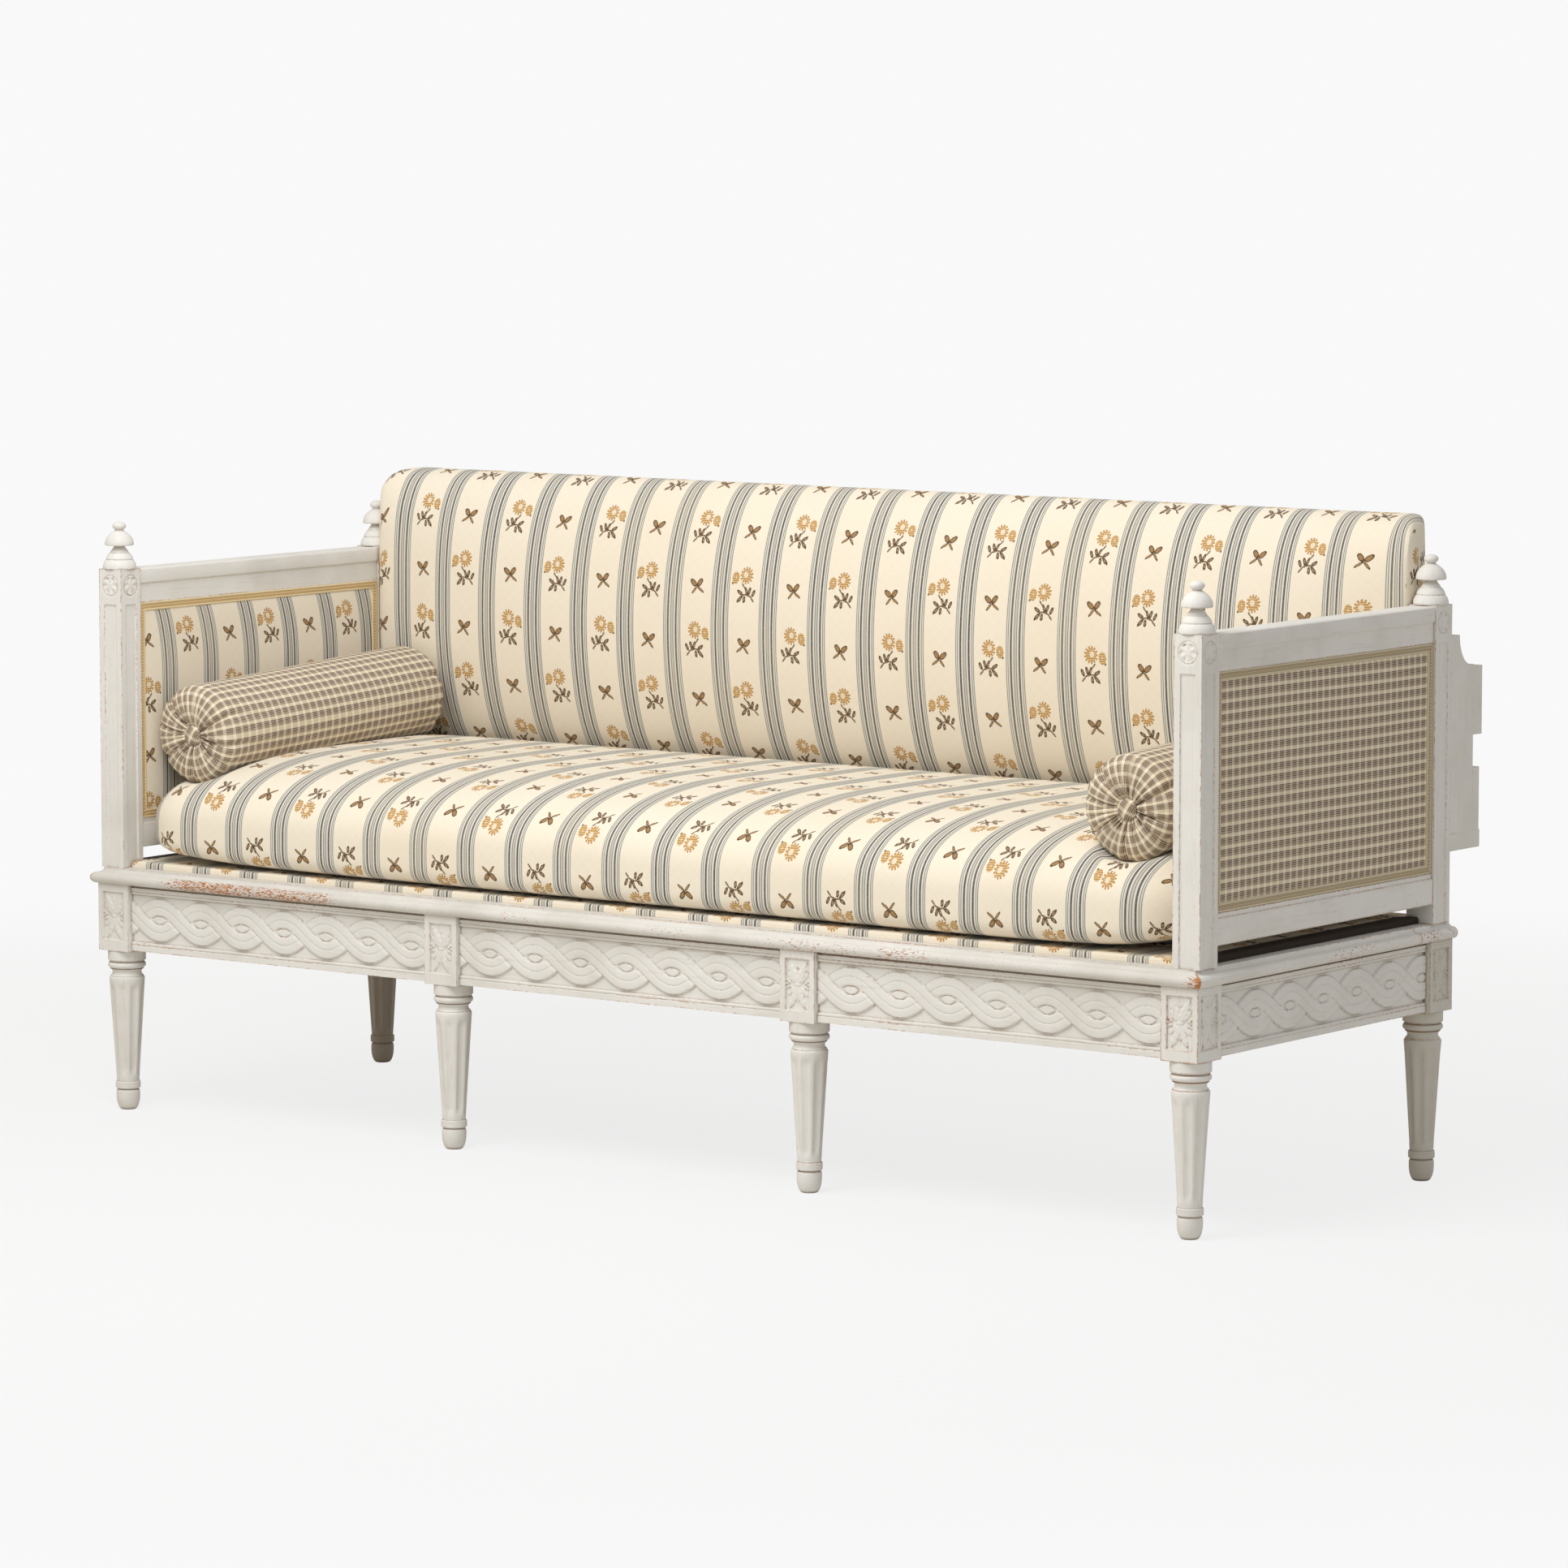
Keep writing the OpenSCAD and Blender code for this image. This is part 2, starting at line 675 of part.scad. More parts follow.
module deck_pad() color(jute) placed() {
    translate([0, 0, board_top + 2 * web_t])
        linear_extrude(deck_h - deck_cover_t - 2 * web_t)
            deck_outline(deck_cover_t);
}
module deck_cover() color(stripe_cloth) placed() {
    difference() {
        translate([0, 0, board_top])
            linear_extrude(deck_h)
                deck_outline(0);
        translate([0, 0, board_top - over])
            linear_extrude(deck_h - deck_cover_t + over)
                deck_outline(deck_cover_t);
    }
}

// Corner post at the front right: round tenon below, sunk panels, mortises for the arm rails
module panel_cut() {
    translate([post_w / 2 - panel_depth, -panel_w / 2, board_top - over])
        cube([panel_depth + over, panel_w, post_h - rosette_h + over]);
}
module corner_post(front_panel) {
    difference() {
        union() {
            box([post_in_x, -post_y - post_w / 2, board_top],
                [post_out_x, -post_in_y, post_top]);
            translate([post_x, -post_y, frame_h - pin_depth + joint_gap])
                cylinder(h = pin_depth + board_t, d = pin_d, $fn = 48);
        }
        translate([post_x, -post_y, 0]) {
            panel_cut();
            rotate([0, 0, 180])
                panel_cut();
            if (front_panel)
                rotate([0, 0, -90])
                    panel_cut();
        }
        translate([0, -post_in_y + over, 0])
            mirror([0, 1, 0]) {
                mortise_y(post_x, top_tenon_z, top_tenon_h, arm_tenon + over);
                mortise_y(post_x, low_tenon_z, low_tenon_h, arm_tenon + over);
            }
        translate([post_x, -post_y, post_top - dowel_l])
            cylinder(h = dowel_l + over, d = dowel_d + 2 * joint_gap, $fn = 32);
    }
}
top_tenon_z = top_rail_z + tenon_shoulder / 2;
top_tenon_h = post_top - dowel_l - tenon_stop - top_tenon_z;
low_tenon_h = low_rail_h - 2 * tenon_shoulder;
low_tenon_z = low_rail_z + tenon_shoulder;
module front_right_post() color(paint) placed() corner_post(true);
module front_left_post() color(paint) placed() on_left() corner_post(true);
module rear_right_post() color(paint) placed() mirror([0, 1, 0]) corner_post(false);
module rear_left_post() color(paint) placed() on_left() mirror([0, 1, 0]) corner_post(false);

// Turned finial: bell shaped base, neck, mushroom and a small flattened ball
module finial() {
    r = finial_d / 2;
    k = finial_h / 71.5;
    ball_r = 0.4 * r;
    outline = concat(
        [[0, 0], [r, 0], [r, 2.5 * k]],
        [for (i = [1 : 5]) [r - (r - 0.82 * r) * (i / 5) * (i / 5), (2.5 + 11 * i / 5) * k]],
        [[0.8 * r, 13.6 * k], [0.8 * r, 14.6 * k]],
        [for (i = [1 : 4]) [0.8 * r - 0.22 * r * (i / 4) * (i / 4), (14.6 + 9.4 * i / 4) * k]],
        [[0.55 * r, 24 * k], [0.55 * r, 25 * k], [0.47 * r, 28.5 * k], [0.37 * r, 31.6 * k],
            [0.34 * r, 32 * k], [0.34 * r, 35.5 * k], [0.85 * r, 35.5 * k]],
        [for (i = [0 : 8]) [0.3 * r + 0.57 * r * cos(11 * i), (38 + 19 * sin(11 * i)) * k]],
        [[0.24 * r, 58 * k]],
        [for (i = [1 : 8]) let (a = -60 + 150 * i / 8)
            [max(0, ball_r * cos(a)), (64.8 + 6.7 * sin(a)) * k]]);
    translate([post_x, -post_y, post_top]) {
        rotate_extrude($fn = 64)
            polygon(outline);
        translate([0, 0, -dowel_l + joint_gap])
            cylinder(h = dowel_l, d = dowel_d, $fn = 32);
    }
}
module front_right_finial() color(paint) placed() finial();
module front_left_finial() color(paint) placed() on_left() finial();
module rear_right_finial() color(paint) placed() mirror([0, 1, 0]) finial();
module rear_left_finial() color(paint) placed() on_left() mirror([0, 1, 0]) finial();

// Arm rails, between the front and the rear post
module arm_bar(thick, low, high) {
    box([post_x - thick / 2, -post_in_y, low], [post_x + thick / 2, post_in_y, high]);
}
module arm_tenons(z, h) {
    box([post_x - tenon_t / 2, -post_in_y - arm_tenon, z],
        [post_x + tenon_t / 2, post_in_y + arm_tenon, z + h]);
}
module right_top_rail() color(paint) placed() {
    arm_bar(arm_t - 2 * bead_out, top_rail_z, top_rail_z + top_rail_h);
    arm_bar(arm_t, top_rail_z + top_rail_h - bead_h, top_rail_z + top_rail_h);
    arm_tenons(top_tenon_z, top_tenon_h);
}
module right_low_rail() color(paint) placed() {
    arm_bar(arm_t - 2 * bead_out, low_rail_z, pad_z);
    arm_bar(arm_t, low_rail_z, pad_z - low_strip_h);
    arm_tenons(low_tenon_z, low_tenon_h);
}
module left_top_rail() color(paint) on_left() right_top_rail();
module left_low_rail() color(paint) on_left() right_low_rail();

// Stuffed pad in an arm: a slab with a low crown towards the sitter, inside the braid
function pad_point(i, j, nx, ny, w, h) = let (u = 2 * i / nx - 1, v = 2 * j / ny - 1)
    [pad_edge_x - pad_crown * bulge(u, 3) * bulge(v, 3), u * w, pad_z + pad_h / 2 + v * h];
module crown(w, h) {
    nx = 16;
    ny = 10;
    top = [for (j = [0 : ny], i = [0 : nx]) pad_point(i, j, nx, ny, w, h)];
    base = [for (p = top) [pad_edge_x + cover_t, p[1], p[2]]];
    n = (nx + 1) * (ny + 1);
    row = nx + 1;
    quads = [for (j = [0 : ny - 1], i = [0 : nx - 1]) [j * row + i, j * row + i + 1,
        (j + 1) * row + i + 1, (j + 1) * row + i]];
    rim = concat([for (i = [0 : nx]) i], [for (j = [1 : ny]) j * row + nx],
        [for (i = [nx - 1 : -1 : 0]) ny * row + i], [for (j = [ny - 1 : -1 : 1]) j * row]);
    m = len(rim);
    faces = concat(
        [for (q = quads) [q[0], q[1], q[2]]], [for (q = quads) [q[0], q[2], q[3]]],
        [for (q = quads) [n + q[0], n + q[2], n + q[1]]],
        [for (q = quads) [n + q[0], n + q[3], n + q[2]]],
        [for (k = [0 : m - 1]) [rim[k], n + rim[(k + 1) % m], rim[(k + 1) % m]]],
        [for (k = [0 : m - 1]) [rim[k], n + rim[k], n + rim[(k + 1) % m]]]);
    polyhedron(concat(top, base), faces, convexity = 4);
}
module right_arm_pad() color(stripe_cloth) placed() {
    box([pad_edge_x, -post_in_y, pad_z], [cover_x - cover_t, post_in_y, top_rail_z]);
    crown(post_in_y - gimp_w - 1, pad_h / 2 - gimp_w - 1);
}
module left_arm_pad() color(stripe_cloth) on_left() right_arm_pad();
module right_arm_cover() color(plaid_cloth) placed() {
    box([cover_x - cover_t, -post_in_y, pad_z], [cover_x, post_in_y, top_rail_z]);
}
module left_arm_cover() color(plaid_cloth) on_left() right_arm_cover();

// Braid that hides the nails round the inside pad and the outside cover
module braid_frame(x) {
    difference() {
        box([x, -post_in_y, pad_z], [x + gimp_t, post_in_y, top_rail_z]);
        box([x - over, gimp_w - post_in_y, pad_z + gimp_w],
            [x + gimp_t + over, post_in_y - gimp_w, top_rail_z - gimp_w]);
    }
}
module right_inner_gimp() color(braid) placed() braid_frame(pad_edge_x - gimp_t);
module right_outer_gimp() color(braid) placed() braid_frame(cover_x);
module left_inner_gimp() color(braid) on_left() right_inner_gimp();
module left_outer_gimp() color(braid) on_left() right_outer_gimp();

// Bracket behind a rear post, with a concave shoulder below its ear
module right_bracket() color(paint) placed() {
    shoulder = slat_y - bracket_flat;
    ear_y = post_back_y + ear_w;
    curve = [for (i = [0 : 10]) [shoulder - (shoulder - ear_y) * cos(9 * i),
        bracket_top + ear_h * (1 - sin(9 * i))]];
    difference() {
        translate([bracket_x, 0, 0])
            rotate([90, 0, -90])
                mirror([1, 0, 0])
                    linear_extrude(bracket_t)
                        polygon(concat([[post_back_y, shelf_top], [slat_y, shelf_top],
                            [slat_y, bracket_top]], [for (i = [10 : -1 : 0]) curve[i]],
                            [[post_back_y, bracket_top + ear_h]]));
        nail_places(nail_d, joint_gap);
    }
}
module left_bracket() color(paint) on_left() right_bracket();

// Shelf and slats that hold the back cushion
module back_shelf() color(paint) placed() {
    box([-bracket_x, post_back_y, shelf_z], [bracket_x, post_back_y + shelf_d, shelf_top]);
}
top_slat_high = bracket_top - top_slat_drop;
module lower_slat() color(paint) placed() {
    difference() {
        box([-bracket_x, slat_y, shelf_top], [bracket_x, slat_y + low_slat_t, shelf_top + low_slat_h]);
        nail_holes();
    }
}
module upper_slat() color(paint) placed() {
    difference() {
        box([-bracket_x, slat_y, top_slat_high - top_slat_h],
            [bracket_x, slat_y + top_slat_t, top_slat_high]);
        nail_holes();
    }
}

// Nails through the slats into the brackets
module nail_at(z, back, d, spare) {
    translate([bracket_x - bracket_t / 2, back + over, z])
        rotate([90, 0, 0])
            cylinder(h = back + over - slat_y + nail_bite + spare, d = d + 2 * spare, $fn = 24);
}
module nail_places(d, spare) {
    for (z = [shelf_top + low_slat_h / 4, shelf_top + 3 * low_slat_h / 4])
        nail_at(z, slat_y + low_slat_t, d, spare);
    for (z = [top_slat_high - top_slat_h / 4, top_slat_high - 3 * top_slat_h / 4])
        nail_at(z, slat_y + top_slat_t, d, spare);
}
module nail_holes() {
    nail_places(nail_d, joint_gap);
    on_left()
        nail_places(nail_d, joint_gap);
}
module nail(z, back) {
    translate([bracket_x - bracket_t / 2, back, z])
        rotate([90, 0, 0]) {
            cylinder(h = back - slat_y + nail_bite - joint_gap, d = nail_d, $fn = 24);
            translate([0, 0, -nail_head_h])
                cylinder(h = nail_head_h, d = nail_head_d, $fn = 24);
        }
}
module side_nails() {
    for (z = [shelf_top + low_slat_h / 4, shelf_top + 3 * low_slat_h / 4])
        nail(z, slat_y + low_slat_t);
    for (z = [top_slat_high - top_slat_h / 4, top_slat_high - 3 * top_slat_h / 4])
        nail(z, slat_y + top_slat_t);
}
module slat_nails() color(iron) placed() {
    side_nails();
    on_left()
        side_nails();
}

// A soft form made of closed sections along X: rows of points, one row for each place
module soft_loft(rows) {
    n = len(rows[0]);
    m = len(rows);
    points = [for (row = rows) for (p = row) p];
    walls = [for (i = [0 : m - 2]) for (j = [0 : n - 1]) let (a = i * n + j,
        b = i * n + (j + 1) % n) each [[a, b + n, b], [a, a + n, b + n]]];
    low_end = [for (j = [1 : n - 2]) [0, j, j + 1]];
    top = (m - 1) * n;
    high_end = [for (j = [1 : n - 2]) [top, top + j + 1, top + j]];
    polyhedron(points, concat(walls, low_end, high_end), convexity = 6);
}
// Places along X, closer together towards the ends
function places(half, n) = [for (i = [-n : n]) half * sin(89.2 * i / n)];

// Seat cushion: crowned, with a rounded front edge and slack ends
function corner_draw(x, half, r) = abs(x) <= half - r ? 0
    : r - sqrt(max(0, r * r - pow(abs(x) - half + r, 2)));
function seat_point(x, a) =
    let (c = cos(a), s = sin(a), back = c > 0,
        depth = back ? seat_back_d - corner_draw(x, seat_half_l, seat_back_r)
            : seat_front_d - corner_draw(x, seat_half_l, seat_corner_r),
        n = s < 0 ? 9 : back ? 6 : 2.6,
        y = sign_of(c) * pow(abs(c), 2 / n) * depth,
        fall = s < 0 ? 20 : y > 0 ? 6 + 8 * y / seat_back_d : 6,
        tall = s < 0 ? seat_waist : seat_t - seat_waist,
        full = pow(max(0, 1 - pow(abs(x) / seat_half_l, fall)), s < 0 ? 0.1 : 0.385))
    [x, y, seat_mid + sign_of(s) * pow(abs(s), 2 / n) * tall * full];
module seat_cushion() color(stripe_cloth) placed() {
    rows = [for (x = places(seat_half_l, 13)) [for (j = [0 : 35]) seat_point(x, 10 * j + 3)]];
    difference() {
        soft_loft(rows);
        bolster_hollow(-left_bolster_x);
        bolster_hollow(right_bolster_x);
    }
}

// Back cushion: a long barrel that stands on the shelf, squarer and thinner at its ends.
// Its section runs up the back, over the top, down the rounded front and along the bottom.
// The least thickness of a section's edge, and the rounding of the ends seen from the front
least_edge = 8;
back_round_r = 30;
back_levels = [-0.96, -0.85, -0.6, -0.3, 0, 0.045, 0.12, 0.35, 0.6, 0.85, 0.96];
function back_height(x, up) =
    back_low + back_h / 2 + up * (back_h / 2 - 0.8 * corner_draw(x, back_half_l, back_round_r));
function back_flat(x) =
    slat_y - 1 - back_mid_y - 0.9 * corner_draw(x, back_half_l, back_corner_r);
// Line between rear and face: it comes forward where the rear corner is rounded off
function back_line(x, up) =
    back_mid_y + min(0, back_flat(x) - least_edge) * (up < 0 ? 1 - pow(-up, 0.6) : 1);
function back_face_y(x, up, n) =
    let (line = back_line(x, up))
    line - (line - back_front_y - corner_draw(x, back_half_l, back_edge_r)) * bulge(up, n);
function squareness(x, up) = up > 0 ? 2 + 3 * pow(abs(x) / back_half_l, 8) : 2;
function back_rear(x, up) =
    let (over_slat = up > 0.1 ? back_over * (1 - pow(abs(x) / back_half_l, 8)) : 0,
        line = back_line(x, up))
    [x, max(back_face_y(x, up, squareness(x, up)) + least_edge,
        line + (back_mid_y + back_flat(x) - line + over_slat) * bulge(up, 5)),
        back_height(x, up)];
function back_face(x, a) =
    let (n = squareness(x, a), up = sign_of(sin(a)) * pow(abs(sin(a)), 2 / n))
    [x, back_face_y(x, up, n), back_height(x, up)];
module back_cushion() color(stripe_cloth) placed() {
    soft_loft([for (x = places(back_half_l, 12))
        concat([for (up = back_levels) back_rear(x, up)],
            [for (i = [0 : 22]) back_face(x, 88 - 8 * i)])]);
}

// Bolster: a round roll with gathered ends and a covered button in each
module at_bolster(x) {
    translate([x, bolster_front_y, bolster_z])
        rotate([bolster_tilt - 90, 0, 0])
            children();
}
// Depth of the rim of an end behind the middle of the end, and how far a hollow runs past it
end_dish = 6;
hollow_reach = 90;
module bolster(x) {
    rim = bolster_rim;
    half = concat(
        [[0, bolster_dimple], [button_d / 2 + 1, bolster_dimple],
            [button_d / 2 + 6, bolster_dimple / 3], [button_d / 2 + 14, 0]],
        [for (i = [0 : 8]) let (a = -90 + 90 * i / 8)
            [bolster_r - rim + rim * cos(a), end_dish + rim + rim * sin(a)]]);
    outline = concat(half, [for (i = [len(half) - 1 : -1 : 0]) [half[i][0], bolster_l - half[i][1]]]);
    at_bolster(x)
        rotate_extrude($fn = 72)
            polygon(outline);
}
module bolster_hollow(x) {
    at_bolster(x)
        translate([0, 0, -hollow_reach])
            cylinder(h = bolster_l + 2 * hollow_reach, r = bolster_r + bolster_gap, $fn = 72);
}
module buttons(x) {
    button = concat([[0, 0], [button_d / 2, 0]],
        [for (i = [1 : 6]) [button_d / 2 * cos(15 * i), button_h * sin(15 * i)]]);
    at_bolster(x) {
        translate([0, 0, bolster_dimple])
            mirror([0, 0, 1])
                button_form(button);
        translate([0, 0, bolster_l - bolster_dimple])
            button_form(button);
    }
}
module button_form(outline) {
    rotate_extrude($fn = 36)
        polygon(outline);
}
module left_bolster() color(plaid_cloth) placed() bolster(-left_bolster_x);
module right_bolster() color(plaid_cloth) placed() bolster(right_bolster_x);
module left_bolster_buttons() color(plaid_cloth) placed() buttons(-left_bolster_x);
module right_bolster_buttons() color(plaid_cloth) placed() buttons(right_bolster_x);

front_left_leg();
front_inner_left_leg();
front_inner_right_leg();
front_right_leg();
rear_left_leg();
rear_right_leg();
front_rail_left();
front_rail_middle();
front_rail_right();
left_rail();
right_rail();
back_rail();
left_cross_rail();
right_cross_rail();
front_board();
left_board();
right_board();
left_board_end();
right_board_end();
back_board();
cross_webs();
long_webs();
deck_pad();
deck_cover();
front_left_post();
front_right_post();
rear_left_post();
rear_right_post();
front_left_finial();
front_right_finial();
rear_left_finial();
rear_right_finial();
left_top_rail();
right_top_rail();
left_low_rail();
right_low_rail();
left_arm_pad();
right_arm_pad();
left_arm_cover();
right_arm_cover();
left_inner_gimp();
right_inner_gimp();
left_outer_gimp();
right_outer_gimp();
left_bracket();
right_bracket();
back_shelf();
lower_slat();
upper_slat();
slat_nails();
seat_cushion();
back_cushion();
left_bolster();
right_bolster();
left_bolster_buttons();
right_bolster_buttons();
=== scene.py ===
import math
import bmesh
import bpy
import numpy as np
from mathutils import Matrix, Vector


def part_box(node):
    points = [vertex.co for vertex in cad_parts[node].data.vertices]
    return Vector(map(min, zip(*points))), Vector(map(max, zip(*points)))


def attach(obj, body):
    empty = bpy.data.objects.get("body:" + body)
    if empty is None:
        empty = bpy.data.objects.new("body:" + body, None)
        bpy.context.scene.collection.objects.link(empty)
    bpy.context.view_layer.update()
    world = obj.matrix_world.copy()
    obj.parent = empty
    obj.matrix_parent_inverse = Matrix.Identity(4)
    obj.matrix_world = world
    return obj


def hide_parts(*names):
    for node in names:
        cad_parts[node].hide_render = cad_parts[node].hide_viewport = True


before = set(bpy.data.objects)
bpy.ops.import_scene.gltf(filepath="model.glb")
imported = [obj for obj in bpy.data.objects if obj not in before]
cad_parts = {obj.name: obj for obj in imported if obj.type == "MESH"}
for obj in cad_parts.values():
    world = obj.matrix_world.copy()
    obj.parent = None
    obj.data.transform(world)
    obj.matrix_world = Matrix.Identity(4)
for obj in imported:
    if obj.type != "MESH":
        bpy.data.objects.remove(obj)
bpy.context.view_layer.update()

# Studio: the camera stands about ten metres away, 36.5 degrees round from the front and 6 degrees up.
# A pale floor runs into a pale backdrop, one large softbox hangs in front above the sofa, and the
# white room fills in the rest.
def linear(code):
    """An sRGB hex colour as the linear values that Blender takes."""
    parts = [int(code[k:k + 2], 16) / 255 for k in (0, 2, 4)]
    return tuple(c / 12.92 if c <= 0.04045 else ((c + 0.055) / 1.055) ** 2.4 for c in parts) + (1.0,)


def add(tree, kind, feeds=(), pick=0, stops=(), steps=False, **settings):
    """One node with its settings, values and links. It gives the chosen output.

    A kind in capitals is an operation of a Math node. Blend mixes the colours 6 and 7 by the share 0.
    steps makes a ramp change colour at once, without a slope.
    """
    if kind.isupper():
        kind, settings["operation"] = "Math", kind
    elif kind == "Blend":
        kind, pick, settings["data_type"] = "Mix", 2, "RGBA"
    node = tree.nodes.new(kind if "Node" in kind else "ShaderNode" + kind)
    for key, value in settings.items():
        setattr(node, key, value)
    for key, value in (feeds if isinstance(feeds, dict) else dict(enumerate(feeds))).items():
        if isinstance(value, bpy.types.NodeSocket):
            tree.links.new(value, node.inputs[key])
        else:
            node.inputs[key].default_value = value
    if stops:
        marks = node.color_ramp.elements
        marks.remove(marks[1])
        marks[0].position, marks[0].color = stops[0]
        for place, colour in stops[1:]:
            marks.new(place).color = colour
        if steps:
            node.color_ramp.interpolation = "CONSTANT"
    return node.outputs[pick] if node.outputs else node


def new_material(name):
    material = bpy.data.materials.new(name)
    material.use_nodes = True
    material.node_tree.nodes.clear()
    return material, material.node_tree


azimuth, elevation, distance = math.radians(36.515), math.radians(6.143), 10.049
aim = Vector((0.056, -0.03685, 0.540))
toward = Vector((math.sin(azimuth) * math.cos(elevation), -math.cos(azimuth) * math.cos(elevation),
                 math.sin(elevation)))
camera = bpy.data.objects.new("camera", bpy.data.cameras.new("camera"))
camera.data.sensor_width, camera.data.lens = 36.0, 156.77
camera.data.clip_end = 100.0
camera.location = aim + toward * distance
camera.rotation_euler = (-toward).to_track_quat("-Z", "Y").to_euler()
bpy.context.scene.collection.objects.link(camera)
bpy.context.scene.camera = camera
bpy.context.scene.view_settings.view_transform = "Standard"

softbox = bpy.data.objects.new("softbox", bpy.data.lights.new("softbox", "AREA"))
softbox.data.energy, softbox.data.size = 67.0, 1.8
softbox.location = (0.15, -2.0, 3.0)
softbox.rotation_euler = Vector((0.15, -2.0, 2.45)).to_track_quat("Z", "Y").to_euler()
bpy.context.scene.collection.objects.link(softbox)

# The camera sees the white room and the paper almost white, and the sofa is lit by less than that
world = bpy.data.worlds.new("white_room")
bpy.context.scene.world = world
world.use_nodes = True
room = world.node_tree
room.nodes.clear()
seen = add(room, "LightPath")
# The wall at the right is in cool daylight
direction = add(room, "SeparateXYZ", {0: add(room, "TexCoord")})
cool = add(room, "MapRange", {"Value": direction, "From Min": 0.0, "From Max": 0.7})
light = add(room, "Blend", {0: cool, 6: linear("FAF4EA"), 7: linear("EDEFF4")})
lit = add(room, "Background", {"Color": light, "Strength": 0.635})
white = add(room, "Background", {"Color": linear("F9F9F9"), "Strength": 1.0})
add(room, "OutputWorld", {0: add(room, "MixShader", {0: seen, 1: lit, 2: white})})

paper, tree = new_material("matte_white_paper")
where = add(tree, "TexCoord", pick=3)
reach = add(tree, "VectorMath", {0: where}, operation="LENGTH", pick=1)
far = add(tree, "MapRange", {"Value": reach, "From Min": 1.7, "From Max": 3.4},
          interpolation_type="SMOOTHSTEP")
near = add(tree, "AddShader", {0: add(tree, "BsdfDiffuse", {"Color": linear("626262")}),
                               1: add(tree, "Emission", {"Color": linear("FFFFFF"), "Strength": 0.80})})
flat = add(tree, "Emission", {"Color": linear("F9F9F9"), "Strength": 1.0})
shown = add(tree, "MixShader", {0: far, 1: near, 2: flat})
dull = add(tree, "BsdfDiffuse", {"Color": linear("DEDAD2")})
path = add(tree, "LightPath")
add(tree, "OutputMaterial", {0: add(tree, "MixShader", {0: path, 1: dull, 2: shown})})
bpy.ops.mesh.primitive_plane_add(size=60)
floor = bpy.context.object
floor.name = "paper_floor"
floor.data.materials.append(paper)

# Legs: six legs turned from beech with the square block left on top. The flutes of the shaft are cut
# with a gouge and acanthus leaves are carved in a sunk panel of each block that shows. The tenons of
# the rails are glued into the blocks. Everything is painted off-white, and the paint is worn through.
def surfaced(tree, inputs):
    """Ends a material's tree in one surface shader with these inputs."""
    add(tree, "OutputMaterial", {0: add(tree, "BsdfPrincipled", inputs)})


